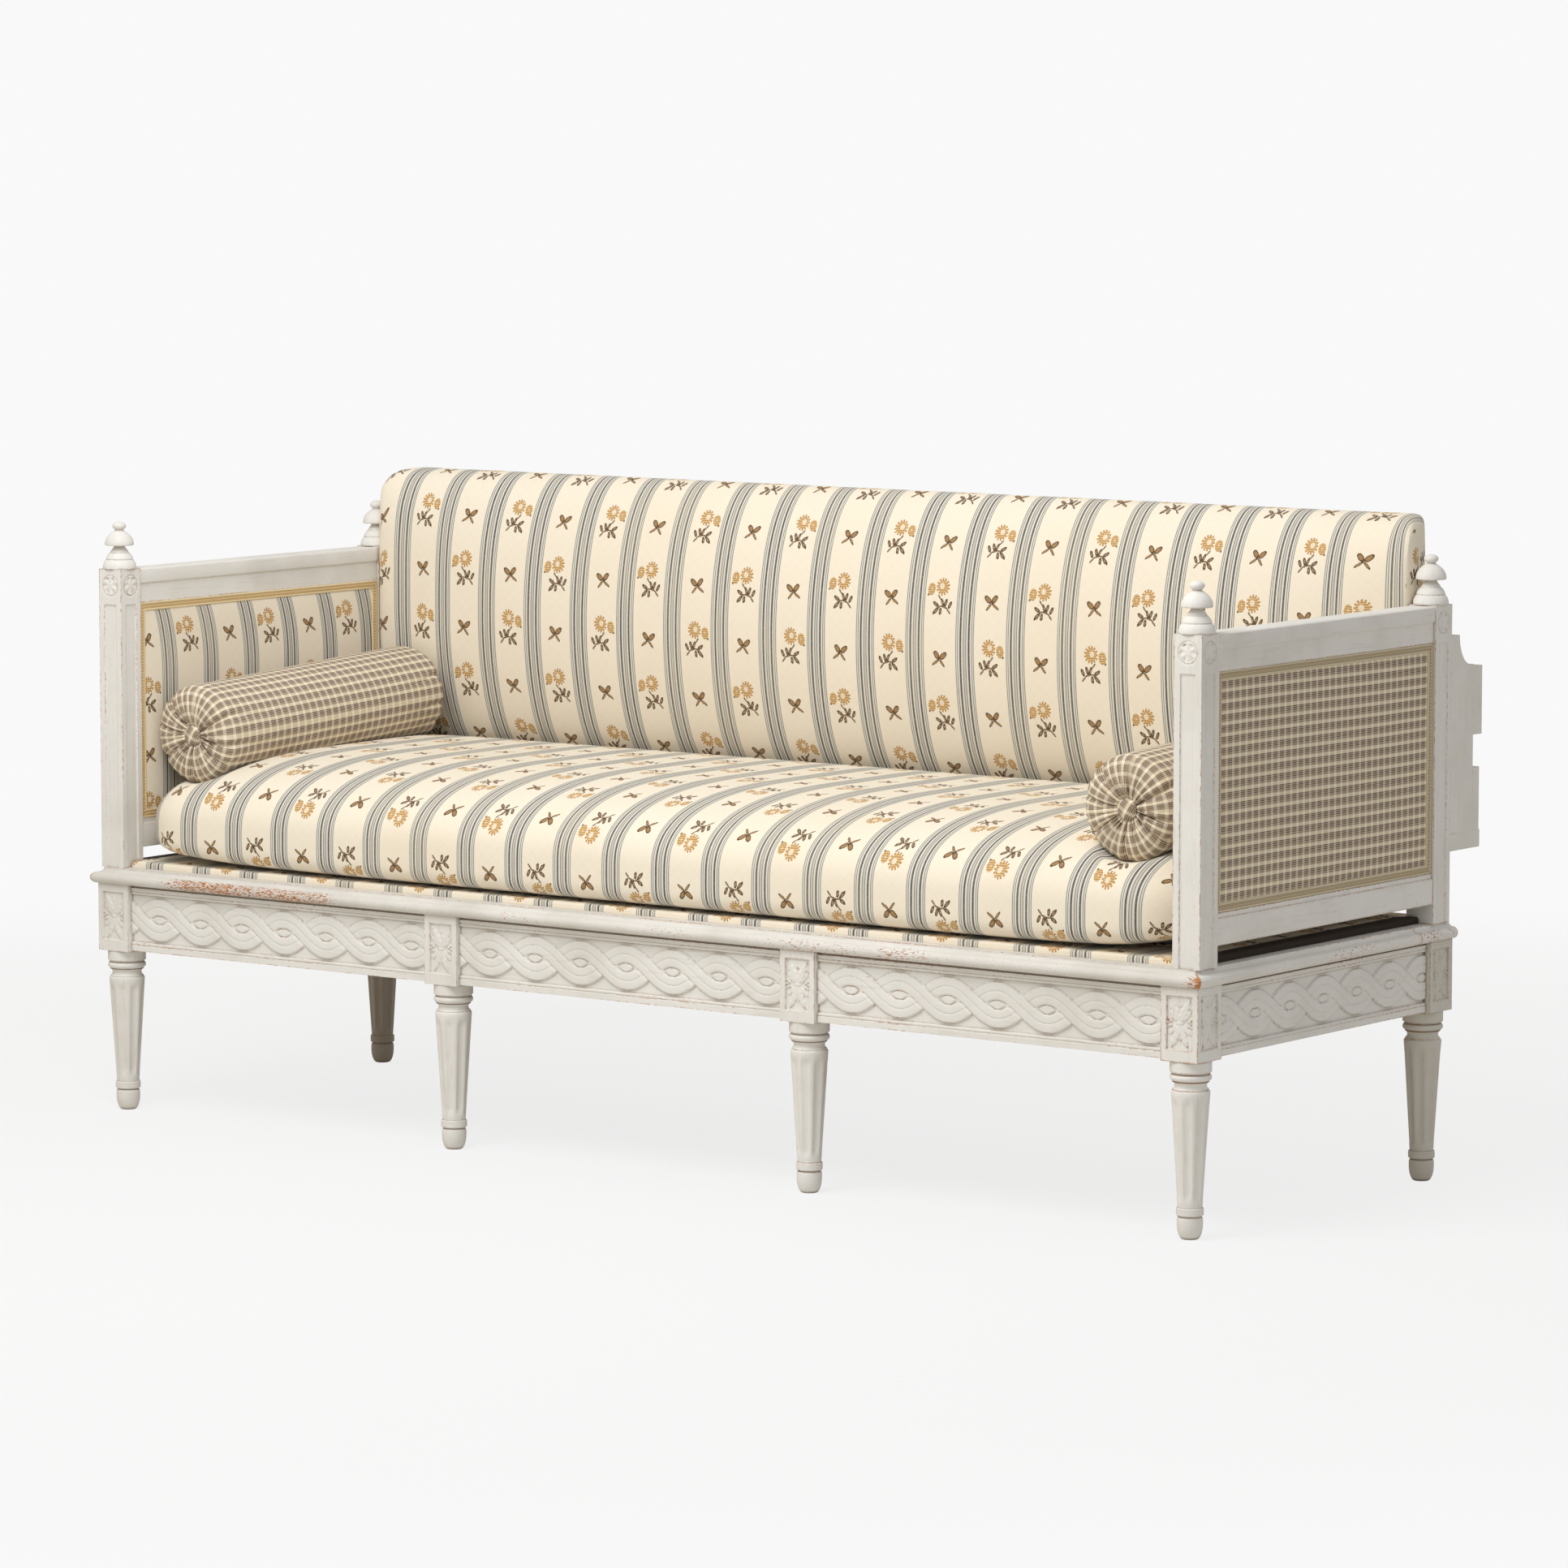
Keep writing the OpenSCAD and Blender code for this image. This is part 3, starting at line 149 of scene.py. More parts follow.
def old_paint(name, grain, wear=0.5, spots=(), grime_and_shade=0.62, coat=("DCD9D2", "E6E4DF", "EAE9E5")):
    """Linseed oil paint, brushed along the grain: satin, streaky, darker in hollows with dirt and painted
    shade, chipped at edges.

    Each spot is a zone of heavier wear: its share, and its limits as (axis, start, end) in metres.
    """
    material, tree = new_material(name)
    place = add(tree, "TexCoord", pick=3)
    along = [1.0 if k == grain else 16.0 for k in range(3)]
    brushed = add(tree, "Mapping", {"Vector": place, "Scale": along})
    streak = add(tree, "TexNoise", {"Vector": brushed, "Scale": 14.0, "Detail": 5.0, "Roughness": 0.62})
    cloud = add(tree, "TexNoise", {"Vector": place, "Scale": 7.0, "Detail": 4.0, "Roughness": 0.6})
    tone = add(tree, "ValToRGB", {0: cloud}, stops=list(zip((0.30, 0.52, 0.74), map(linear, coat))))
    lines = add(tree, "MapRange", {"Value": streak, "From Min": 0.56, "From Max": 0.76, "To Max": 0.34})
    paint = add(tree, "Blend", {0: lines, 6: tone, 7: linear("BFB8AA")})
    # Dirt and painted shade: ambient occlusion darkens the paint towards brown in hollows, grooves and
    # corners
    hollow = add(tree, "AmbientOcclusion", {"Distance": 0.0055}, pick=1, samples=8)
    grime_and_shade_mix = add(tree, "MapRange", {"Value": hollow, "From Min": 0.30, "From Max": 0.86, "To Min": grime_and_shade,
                                  "To Max": 0.0})
    paint = add(tree, "Blend", {0: grime_and_shade_mix, 6: paint, 7: linear("8E7C62")})
    # Edges: where the rounded normal turns away from the true one
    round_off = add(tree, "Bevel", {"Radius": 0.0050}, samples=6)
    true = add(tree, "NewGeometry", pick=1)
    turn = add(tree, "VectorMath", {0: round_off, 1: true}, operation="DOT_PRODUCT", pick=1)
    edge = add(tree, "MapRange", {"Value": turn, "From Min": 0.985, "From Max": 0.82})
    patch = add(tree, "MapRange", {"Value": cloud, "From Min": 0.40, "From Max": 0.66, "To Min": -0.22,
                                   "To Max": 0.10})
    along = [5.0 if k == grain else 16.0 for k in range(3)]
    flaked = add(tree, "Mapping", {"Vector": place, "Scale": along})
    grit = add(tree, "TexNoise", {"Vector": flaked, "Scale": 34.0, "Detail": 6.0, "Roughness": 0.7})
    grit = add(tree, "MapRange", {"Value": grit, "From Min": 0.30, "From Max": 0.75})
    edge_share = add(tree, "MULTIPLY", (edge, 0.38 + 0.16 * wear))
    chip = add(tree, "ADD", (add(tree, "ADD", (edge_share, grit)), patch))
    for share, limits in spots:
        worn = share
        for axis, start, end in limits:
            near = add(tree, "MapRange", {"Value": add(tree, "SeparateXYZ", {0: place}, pick=axis),
                                          "From Min": start, "From Max": end})
            worn = add(tree, "MULTIPLY", (near, worn))
        chip = add(tree, "ADD", (chip, worn))
    bare = add(tree, "MapRange", {"Value": chip, "From Min": 0.90, "From Max": 0.955})
    wood_tone = add(tree, "TexNoise", {"Vector": brushed, "Scale": 60.0, "Detail": 3.0})
    wood = add(tree, "ValToRGB", {0: wood_tone},
               stops=[(0.35, linear("87592F")), (0.52, linear("B87338")), (0.70, linear("CB8F55"))])
    colour = add(tree, "Blend", {0: bare, 6: paint, 7: wood})
    rough = add(tree, "MapRange", {"Value": streak, "To Min": 0.46, "To Max": 0.66})
    lift = add(tree, "ADD", (streak, add(tree, "MULTIPLY", (bare, -1.2))))
    bump = add(tree, "Bump", {"Strength": 0.35, "Distance": 0.0006, "Height": lift})
    surfaced(tree, {"Base Color": colour, "Roughness": rough, "Normal": bump, "Specular IOR Level": 0.35})
    return material


def skin(name, rings, finish, cloth=None, sharp=35, ring=False):
    """A closed skin over rings of points, with flat ends, or as a ring whose last row joins the first.

    cloth gives each point its place on the woven cloth in metres, with one more column than the
    rings have points, because the cloth meets itself there in a seam.
    """
    rings = np.asarray(rings, dtype=float)
    m, n = rings.shape[:2]
    i, j = np.meshgrid(np.arange(m if ring else m - 1), np.arange(n), indexing="ij")
    up, side = (i + 1) % m, (j + 1) % n
    faces = np.stack([i * n + j, i * n + side, up * n + side, up * n + j], -1).reshape(-1, 4).tolist()
    if not ring:
        faces += [list(range(n))[::-1], list(range((m - 1) * n, m * n))]
    mesh = bpy.data.meshes.new(name)
    mesh.from_pydata(rings.reshape(-1, 3).tolist(), [], faces)
    if cloth is not None:
        cloth = np.asarray(cloth, dtype=float)
        places = np.stack([cloth[i, j], cloth[i, j + 1], cloth[i + 1, j + 1], cloth[i + 1, j]], 2)
        places = places.reshape(-1, 2)
        if not ring:
            places = np.vstack([places, cloth[0, :n][::-1], cloth[-1, :n]])
        mesh.uv_layers.new(name="cloth").data.foreach_set("uv", places.ravel())
    build = bmesh.new()
    build.from_mesh(mesh)
    bmesh.ops.remove_doubles(build, verts=build.verts, dist=2e-6)
    if build.calc_volume(signed=True) < 0:
        bmesh.ops.reverse_faces(build, faces=build.faces)
    build.to_mesh(mesh)
    build.free()
    mesh.shade_smooth()
    mesh.set_sharp_from_angle(angle=math.radians(sharp))
    mesh.materials.append(finish)
    piece = bpy.data.objects.new(name, mesh)
    bpy.context.scene.collection.objects.link(piece)
    return piece


def joined(name, parts):
    """Several skins of one solid piece as one object."""
    build = bmesh.new()
    for part in parts:
        build.from_mesh(part.data)
    parts[0].data.clear_geometry()
    build.to_mesh(parts[0].data)
    build.free()
    for part in parts[1:]:
        bpy.data.objects.remove(part)
    parts[0].name = name
    return parts[0]


def four_sided(middle, half, heights, steps, dents):
    """Rings of a square post. dents[side](q, z) is how deep the carving goes, in millimetres."""
    sides = [((0, -1), (1, 0)), ((1, 0), (0, 1)), ((0, 1), (-1, 0)), ((-1, 0), (0, -1))]
    rows = []
    q, z = np.meshgrid(steps, heights)
    for (nx, ny), (tx, ty) in sides:
        depth = dents[(nx, ny)](q, z) if (nx, ny) in dents else np.zeros_like(q)
        out = half - depth
        rows.append(np.stack([middle[0] + nx * out + tx * q, middle[1] + ny * out + ty * q, z], -1))
    return np.concatenate([r[:, :-1] for r in rows], axis=1) / 1000


def ease(v, low, high):
    """Smooth step from 0 at low to 1 at high."""
    v = np.clip((v - low) / (high - low), 0, 1)
    return v * v * (3 - 2 * v)


def box_mm(name):
    """Low and high corner of a CAD piece in millimetres."""
    return [np.array(corner) * 1000 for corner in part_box(name)]


block_half, block_middle = 30, 300.5
# Leaves of the carved panel: start, bend and tip of the middle line, width and height in millimetres
leaves = [((0, 2), (7, 14), (16.5, 33), 6.6, 2.5), ((0, 2), (-7, 14), (-16.5, 33), 6.6, 2.5),
          ((0, 3), (12, 8), (19, 20), 4.2, 2.0), ((0, 3), (-12, 8), (-19, 20), 4.2, 2.0),
          ((0, -2), (4, -17), (13.5, -34), 5.4, 2.4), ((0, -2), (-4, -17), (-13.5, -34), 5.4, 2.4),
          ((0, -3), (10, -8), (18.5, -17), 3.8, 1.8), ((0, -3), (-10, -8), (-18.5, -17), 3.8, 1.8),
          ((0, 6), (0, 18), (0, 32), 3.4, 1.8), ((0, -6), (0, -18), (0, -31), 2.8, 1.5)]
berries = [(x * side, y, r) for side in (-1, 1) for x, y, r in
           ((14.5, 3.0, 2.5), (18.5, 0.5, 2.2), (14.5, -3.6, 2.3), (18.6, 5.4, 1.9), (18.5, -5.4, 1.9))]


def leaf_panel(q, z):
    """Depth of the carved panel below the face of the block, with its leaves."""
    y = z - block_middle
    inside = ease(21.5 - np.abs(q), 0, 1.6) * ease(37.5 - np.abs(y), 0, 1.6)
    relief = np.zeros_like(q)
    t = np.linspace(0, 1, 40)
    for start, bend, tip, width, height in leaves:
        line = [(1 - t) ** 2 * start[k] + 2 * t * (1 - t) * bend[k] + t * t * tip[k] for k in (0, 1)]
        gap = np.hypot(q[..., None] - line[0], y[..., None] - line[1])
        near = gap.argmin(-1)
        gap, share = gap.min(-1), t[near]
        half = width * np.sin(np.pi * np.clip(share, 0.02, 0.98) ** 0.75) ** 0.7
        half = half * (1 + 0.16 * np.cos(2 * np.pi * 4 * share))
        blade = height * np.sqrt(np.clip(1 - (gap / np.maximum(half, 0.3)) ** 2, 0, 1))
        blade -= 0.9 * np.exp(-(gap / 0.8) ** 2) * (blade > 0)
        relief = np.maximum(relief, blade)
    for bx, by, r in berries:
        ball = np.sqrt(np.clip(r * r - (q - bx) ** 2 - (y - by) ** 2, 0, None))
        relief = np.maximum(relief, ball * 0.9)
    knot = 2.6 * np.sqrt(np.clip(1 - (q / 6.5) ** 2 - (y / 3.4) ** 2, 0, 1))
    relief = np.maximum(relief, knot)
    border = 0.9 * np.exp(-((np.abs(q) - 24.5) / 0.7) ** 2) * (np.abs(y) < 40)
    return inside * (2.8 - np.minimum(relief, 2.7)) + border


def turned_shaft(x, y):
    """Foot, tapered shaft with eight flutes, hollow, ring and cap, from the floor to the block."""
    def arc(r, z, wide, tall, degrees):
        turns = [math.radians(a) for a in degrees]
        return [(r + wide * math.cos(a), z + tall * math.sin(a)) for a in turns]

    outline = [(9.5, 0)] + arc(9.5, 21.7, 8.5, 21.7, range(-81, 1, 9))
    outline += [(18, 27.9), (17.6, 29.6), (16.6, 31), (15.5, 31.2), (15.5, 32.8), (18, 33), (19, 34.2),
                (19, 42.8), (18, 44)]
    outline += [(17 + 10 * k / 34, 44 + 160 * k / 34) for k in range(35)]
    outline += [(26.3, 205.2), (25, 206)]
    outline += arc(27.5, 212.5, 5.5, 5.5, range(245, 109, -15))
    outline += [(24, 219)] + arc(24, 224, 5, 5, range(-90, 91, 15))
    outline += [(26.5, 229.2), (26.5, 230.8), (28.2, 231), (29, 232), (29, 247)]
    angles = np.radians(np.arange(96) * 3.75)
    from_flute = np.radians(np.abs(np.arange(96) * 3.75 % 45 - 22.5))
    rings = []
    for r, z in outline:
        radius = np.full(96, float(r))
        if 54 < z < 194:
            share = (z - 54) / 140
            cutter = 9 + 8 * share
            depth = 2.6 * math.sqrt(max(0.0, 1 - max(0.0, 1 - (z - 54) / 7, 1 - (194 - z) / 9) ** 2))
            axis = r + cutter - depth
            under = cutter ** 2 - (axis * np.sin(from_flute)) ** 2
            cut = axis * np.cos(from_flute) - np.sqrt(np.clip(under, 0, None))
            radius = np.where(under > 0, np.minimum(radius, cut), radius)
        rings.append(np.stack([x + radius * np.cos(angles), y + radius * np.sin(angles),
                               np.full(96, z)], -1) / 1000)
    return rings


leg_paint = old_paint("worn_oil_paint_on_turned_beech", grain=2, wear=0.8)
# The rear legs carry painted shade for the shade under the seat: darker coats and more darkening in
# hollows, and the left one almost brown
rear_shaded_paint = {"rear_left_leg": old_paint("shaded_oil_paint_on_rear_left_leg", 2, 0.8,
                                         grime_and_shade=0.85, coat=("968C7C", "A0978A", "AAA294")),
              "rear_right_leg": old_paint("shaded_oil_paint_on_rear_right_leg", 2, 0.8,
                                          grime_and_shade=0.85, coat=("C9C3B7", "D1CDC3", "D7D3C9"))}
block_steps = np.linspace(-block_half, block_half, 49)
block_levels = np.concatenate([[247.0, 248.5], np.linspace(258, 343, 69), [348.5, 350.0]])
for name in ("front_left_leg", "front_inner_left_leg", "front_inner_right_leg", "front_right_leg",
             "rear_left_leg", "rear_right_leg"):
    low, high = box_mm(name)
    in_front = "front" in name
    x, y = (low[0] + high[0]) / 2, low[1] + block_half if in_front else high[1] - block_half
    carved = {(0, -1): leaf_panel} if in_front else {}
    if "inner" not in name:
        carved[(-1, 0) if "left" in name else (1, 0)] = leaf_panel
    finish = rear_shaded_paint.get(name, leg_paint)
    block = skin("block", four_sided((x, y), block_half, block_levels, block_steps, carved), finish)
    leg = joined("turned_" + name, [block, skin("shaft", turned_shaft(x, y), finish)])
    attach(leg, "frame")
    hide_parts(name)

# Seat rails: three in front and one at each side carry a plait of two bands, cut out of a sunk field,
# with a groove along each band. The back rail and the two cross rails under the seat are plain.
band_half, band_swing = 12.4, 19.6


def plait_relief(x, z, start, pitch):
    """Depth below the rail's face of the sunk field and of the two bands that pass over and under."""
    y = z - 299.25
    turn = np.pi * (x - start) / pitch
    bands = []
    for way in (1, -1):
        middle = way * band_swing * np.cos(turn)
        slope = -way * band_swing * np.pi / pitch * np.sin(turn)
        bands.append((np.abs(y - middle) / np.hypot(1, slope), slope))

    def top(gap):
        share = np.clip(gap / band_half, 0, 1)
        return 0.1 + 0.8 * share ** 4 + 0.9 * np.exp(-(gap / 0.8) ** 2)

    def edge(gap):
        return ease(gap, 12.0, 13.0)

    over_first = bands[0][1] < bands[1][1]
    over = np.where(over_first, bands[0][0], bands[1][0])
    under = np.where(over_first, bands[1][0], bands[0][0])
    sunk = top(under) + 1.7 * np.exp(-(np.maximum(over - band_half, 0) / 2.2) ** 2)
    # A small almond stands in each eye of the plait
    off = (x - start) - np.round((x - start) / pitch) * pitch
    rim = ease((off / 13.5) ** 2 + np.abs(y) / 6.6, 0.80, 0.98) * (1 - ease(np.abs(off), 14.5, 17))
    ground = 4.0 + (0.9 + 1.6 * rim - 4.0) * ease(12 - np.abs(y), 0, 1)
    depth = sunk + (ground - sunk) * edge(under)
    depth = top(over) + (depth - top(over)) * edge(over)
    inside = ease(37.3 - np.abs(y), 0, 1.2)
    grooves = 1.0 * np.exp(-((y - 41) / 0.7) ** 2) + 1.0 * np.exp(-((y + 40.5) / 0.7) ** 2)
    # Open joint under the overhanging board
    return inside * depth + grooves + 4 * (z > 345.9)


def carved_rail(name, start, pitch):
    """A rail with its plait, as a skin whose rings stand across it."""
    low, high = box_mm(name)
    side = 0 if "front" in name else (-1 if "left" in name else 1)
    face = low[1] if side == 0 else (low[0] if side < 0 else high[0])
    if side == 0:
        free = {"front_rail_left": (-940, -355.5), "front_rail_middle": (-295.5, 295.5),
                "front_rail_right": (355.5, 940)}[name]
    else:
        free = (box_mm("front_left_leg")[1][1], box_mm("rear_left_leg")[0][1])
    runs = np.linspace(free[0], free[1], int((free[1] - free[0]) / 1.5) + 1)
    levels = np.concatenate([np.linspace(249, 344.8, 81), [345.7, 346.0, 350]])
    q, z = np.meshgrid(runs, levels, indexing="ij")
    depth = plait_relief(q, z, start, pitch)
    front = np.stack([q, depth, z], -1)
    back = np.stack([np.stack([runs, np.full_like(runs, 28.0), np.full_like(runs, v)], -1)
                     for v in (350, 249)], 1)
    rings = np.concatenate([front, back], 1)
    if side == 0:
        rings[..., 1] += face
    else:
        rings = np.stack([face - side * rings[..., 1], rings[..., 0], rings[..., 2]], -1)
    return skin("carved_" + name, rings / 1000, rail_paint if side == 0 else side_paint)


# The carved rails get more painted shade in the hollows of the plait
rail_paint = old_paint("worn_oil_paint_on_carved_beech", grain=0, wear=0.45, grime_and_shade=0.85)
side_paint = old_paint("worn_oil_paint_on_carved_side_beech", grain=1, wear=0.45, grime_and_shade=0.85)
# The sofa's own middle lies this far in front of the frame's, which counts the back in
shift = 36.85
for name, start, pitch in (("front_rail_left", -883.5, 82.6), ("front_rail_middle", -238.7, 84.0),
                           ("front_rail_right", 413.9, 83.4), ("left_rail", -175.3 - shift, 87.9),
                           ("right_rail", -175.3 - shift, 87.9)):
    rail = carved_rail(name, start, pitch)
    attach(rail, "frame")
    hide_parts(name)


def assign(names, finish):
    """The CAD piece stays and gets its finish."""
    for name in names:
        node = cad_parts[name]
        for k in range(len(node.material_slots)):
            node.material_slots[k].material = finish


assign(["back_rail"], rail_paint)
# The cross rails are bare pine, browned with age
bare, tree = new_material("unpainted_aged_pine")
place = add(tree, "Mapping", {"Vector": add(tree, "TexCoord", pick=3), "Scale": (18.0, 1.0, 18.0)})
rings_of_wood = add(tree, "TexNoise", {"Vector": place, "Scale": 9.0, "Detail": 6.0, "Distortion": 0.6})
brown = add(tree, "ValToRGB", {0: rings_of_wood},
            stops=[(0.30, linear("6E5138")), (0.50, linear("8E6B4A")), (0.68, linear("A98661"))])
bump = add(tree, "Bump", {"Strength": 0.4, "Distance": 0.0005, "Height": rings_of_wood})
surfaced(tree, {"Base Color": brown, "Roughness": 0.78, "Normal": bump, "Specular IOR Level": 0.3})
assign(["left_cross_rail", "right_cross_rail"], bare)

# Top boards: planed pine boards glued on the frame, with a rounded nose and a small hollow above it.
# The front board has taken most of the wear: along its nose the paint is gone in long patches.
board_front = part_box("front_board")[0][1]
front_board_paint = old_paint("worn_oil_paint_on_front_board", grain=0, wear=1.0,
                              coat=("CFCBC3", "DCD9D3", "E3E1DC"),
                              spots=[(0.25, [(1, board_front + 0.016, board_front + 0.004)]),
                                     (0.38, [(1, board_front + 0.014, board_front + 0.004),
                                             (0, -0.49, -0.55), (0, -0.89, -0.82)]),
                                     (0.34, [(0, 0.975, 1.004),
                                             (1, board_front + 0.05, board_front + 0.02)])])
side_board_paint = old_paint("worn_oil_paint_on_side_boards", grain=1, wear=0.9,
                             spots=[(0.30, [(0, 0.994, 1.004)]), (0.30, [(0, -0.994, -1.004)])])
assign(["front_board", "back_board"], front_board_paint)
assign(["left_board", "right_board", "left_board_end", "right_board_end"], side_board_paint)

# Posts: four square posts with a round tenon into the leg block. Each has a sunk panel with a thin
# inner line on the sides that show, and a rosette chip-cut with a knife in the block on top.
post_half, post_top = 22.25, 830


def rosette(q, z):
    """Six pointed cuts round a middle, inside a cut circle."""
    y = z - 805
    r = np.hypot(q, y)
    turn = np.degrees(np.arctan2(q, y)) % 60
    share = np.clip(1 - np.abs(turn - 30) / 25, 0, 1)
    cuts = 2.3 * np.clip((r - 3.2) / 9.0, 0, 1) * share ** 0.8 * ease(13.2 - r, 0, 1.2)
    circle = 1.2 * np.exp(-((r - 15.5) / 0.8) ** 2)
    return cuts + circle


def sunk_panel(q, z):
    """Flat field with a thin line along both of its long edges."""
    inside = ease(12.3 - np.abs(q), 0, 1.0) * ease(776 - z, 0, 1.5)
    line = 0.8 * np.exp(-((np.abs(q) - 9.0) / 0.6) ** 2) * (z < 772)
    return inside * (2.0 + line)


def panel_and_rosette(q, z):
    return sunk_panel(q, z) + rosette(q, z)


post_paint = old_paint("worn_oil_paint_on_posts", grain=2, wear=0.6)
post_steps = np.concatenate([[-post_half, -21.6], np.linspace(-18.5, 18.5, 38), [21.6, post_half]])
post_levels = np.concatenate([[374.0, 376.0], np.linspace(384, 764, 20), np.linspace(768, 778, 8),
                              np.linspace(782, 827.5, 42), [829.4, post_top]])
for name in ("front_left_post", "front_right_post", "rear_left_post", "rear_right_post"):
    low, high = box_mm(name)
    middle = ((low[0] + high[0]) / 2, (low[1] + high[1]) / 2)
    sides = {(-1, 0): panel_and_rosette, (1, 0): panel_and_rosette}
    if "front" in name:
        sides[(0, -1)] = panel_and_rosette
    rings = four_sided(middle, post_half, post_levels, post_steps, sides)
    post = skin("square_" + name, rings, post_paint)
    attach(post, "frame")
    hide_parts(name)

# Finials: turned from one piece with a dowel into the post. A bell, a neck, a mushroom and a small
# flattened ball. The paint is thick in the hollows and rubbed off on the widest edges.
for name in ("front_left_finial", "front_right_finial", "rear_left_finial", "rear_right_finial"):
    low, high = box_mm(name)
    x, y = (low[0] + high[0]) / 2, (low[1] + high[1]) / 2
    outline = [(25.2, 0), (25.5, 0.6), (25.5, 2.6), (25.3, 4.6), (24.6, 7.4), (23.4, 10), (21.8, 12.4),
               (20.9, 13.4), (20.2, 13.8), (20.2, 14.6), (20.6, 15), (20, 17.2), (18.6, 20),
               (16.6, 22.6), (15, 24), (13.9, 24.4), (13.9, 25.4), (12, 28.5), (10, 30.9), (8.9, 32),
               (8.7, 34.2), (9.6, 35.2), (20.2, 35.4), (21.7, 36.2), (22, 37.6), (21.9, 39.4),
               (21.2, 42.6), (19.8, 46), (17.8, 49.2), (15.2, 52), (12.2, 54.6), (9, 56.6), (7, 57.8),
               (6.2, 58.6), (6.4, 59.4)]
    outline += [(10.4 * math.cos(math.radians(a)), 64.8 + 6.7 * math.sin(math.radians(a)))
                for a in (-48, -32, -16, 0, 16, 32, 48, 62, 76, 84)]
    around = np.radians(np.arange(72) * 5)
    rings = [np.stack([x + r * np.cos(around), y + r * np.sin(around),
                       np.full(72, post_top + z)], -1) / 1000 for r, z in outline]
    finial = skin("turned_" + name, rings, post_paint, sharp=40)
    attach(finial, "frame")
    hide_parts(name)

# Arm rails: planed pine between the posts. The top rail has a rounded bead on both sides, and the
# bottom rail a thin strip on top, under the covers.
rail_shapes = {
    "top_rail": [(-18.7, 0), (-18.7, 27), (-18.9, 28.6), (-20.1, 29.6), (-20.9, 30.6), (-21.25, 32.2),
                 (-21.25, 47), (-20.6, 50), (-18.8, 51.6), (-16.5, 52), (16.5, 52), (18.8, 51.6),
                 (20.6, 50), (21.25, 47), (21.25, 32.2), (20.9, 30.6), (20.1, 29.6), (18.9, 28.6),
                 (18.7, 27), (18.7, 0)],
    "low_rail": [(-20.6, 0), (-21.25, 0.8), (-21.25, 35.4), (-20.8, 36.6), (-19.6, 37), (-18.75, 37.4),
                 (-18.75, 44), (18.75, 44), (18.75, 37.4), (19.6, 37), (20.8, 36.6), (21.25, 35.4),
                 (21.25, 0.8), (20.6, 0)]}
arm_front, arm_rear = (corner[1] for corner in box_mm("left_arm_cover"))
for side in ("left", "right"):
    for kind, shape in rail_shapes.items():
        name = side + "_" + kind
        low, high = box_mm(name)
        x, z = (low[0] + high[0]) / 2, low[2]
        rings = [[(x + px, y, z + pz) for px, pz in shape] for y in np.linspace(arm_front, arm_rear, 12)]
        rail = skin("planed_" + name, np.array(rings) / 1000, side_board_paint)
        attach(rail, "frame")
        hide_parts(name)

# Back: two sawn brackets behind the rear posts, a shelf and two slats nailed on them. Plain pine boards
# with the same paint, and forged nails that show dark in the paint.
back_paint = old_paint("worn_oil_paint_on_sawn_boards", grain=0, wear=0.7)
bracket_paint = old_paint("worn_oil_paint_on_sawn_brackets", grain=2, wear=0.7)
assign(["back_shelf", "lower_slat", "upper_slat"], back_paint)
assign(["left_bracket", "right_bracket"], bracket_paint)
iron, tree = new_material("forged_iron_nails")
rust = add(tree, "TexNoise", {"Vector": add(tree, "TexCoord", pick=3), "Scale": 900.0, "Detail": 4.0})
colour = add(tree, "ValToRGB", {0: rust}, stops=[(0.35, linear("2A2622")), (0.65, linear("5A3C2A"))])
bump = add(tree, "Bump", {"Strength": 0.5, "Distance": 0.0003, "Height": rust})
surfaced(tree, {"Base Color": colour, "Roughness": 0.7, "Metallic": 0.6, "Normal": bump})
assign(["slat_nails"], iron)

# Webs: jute webbing 50 mm wide, nailed across the frame and along it. It carries the stuffed deck
# and shows from below. One strip is made and set out along the sofa at an even pitch.
jute, tree = new_material("woven_jute_webbing")
place = add(tree, "TexCoord", pick=3)
warp = add(tree, "TexWave", {"Vector": place, "Scale": 130.0, "Distortion": 1.0}, bands_direction="X")
weft = add(tree, "TexWave", {"Vector": place, "Scale": 130.0, "Distortion": 1.0}, bands_direction="Y")
weave = add(tree, "MULTIPLY", [add(tree, "SeparateColor", {0: threads}) for threads in (warp, weft)])
colour = add(tree, "ValToRGB", {0: weave},
             stops=[(0.0, linear("7A6244")), (0.5, linear("A68B62")), (1.0, linear("BFA57C"))])
bump = add(tree, "Bump", {"Strength": 0.6, "Distance": 0.0006, "Height": weave})
surfaced(tree, {"Base Color": colour, "Roughness": 0.9, "Normal": bump, "Sheen Weight": 0.2})


def grown(name, tree, values):
    """The mesh that a node tree makes from its named inputs, as a plain piece."""
    carrier = bpy.data.objects.new(name, bpy.data.meshes.new(name))
    bpy.context.scene.collection.objects.link(carrier)
    live = carrier.modifiers.new("make", "NODES")
    live.node_group = tree
    for item in tree.interface.items_tree:
        if item.in_out == "INPUT" and item.name in values:
            live[item.identifier] = values[item.name]
    carrier.update_tag()
    settled = carrier.evaluated_get(bpy.context.evaluated_depsgraph_get())
    mesh = bpy.data.meshes.new_from_object(settled)
    carrier.modifiers.remove(live)
    carrier.data = mesh
    mesh.name = name
    return carrier


def tree_with(name, inputs):
    """A new node tree with a mesh output and named inputs."""
    tree = bpy.data.node_groups.new(name, "GeometryNodeTree")
    tree.interface.new_socket("Mesh", in_out="OUTPUT", socket_type="NodeSocketGeometry")
    for label, kind in inputs:
        tree.interface.new_socket(label, in_out="INPUT", socket_type="NodeSocket" + kind)
    return tree, tree.nodes.new("NodeGroupInput").outputs


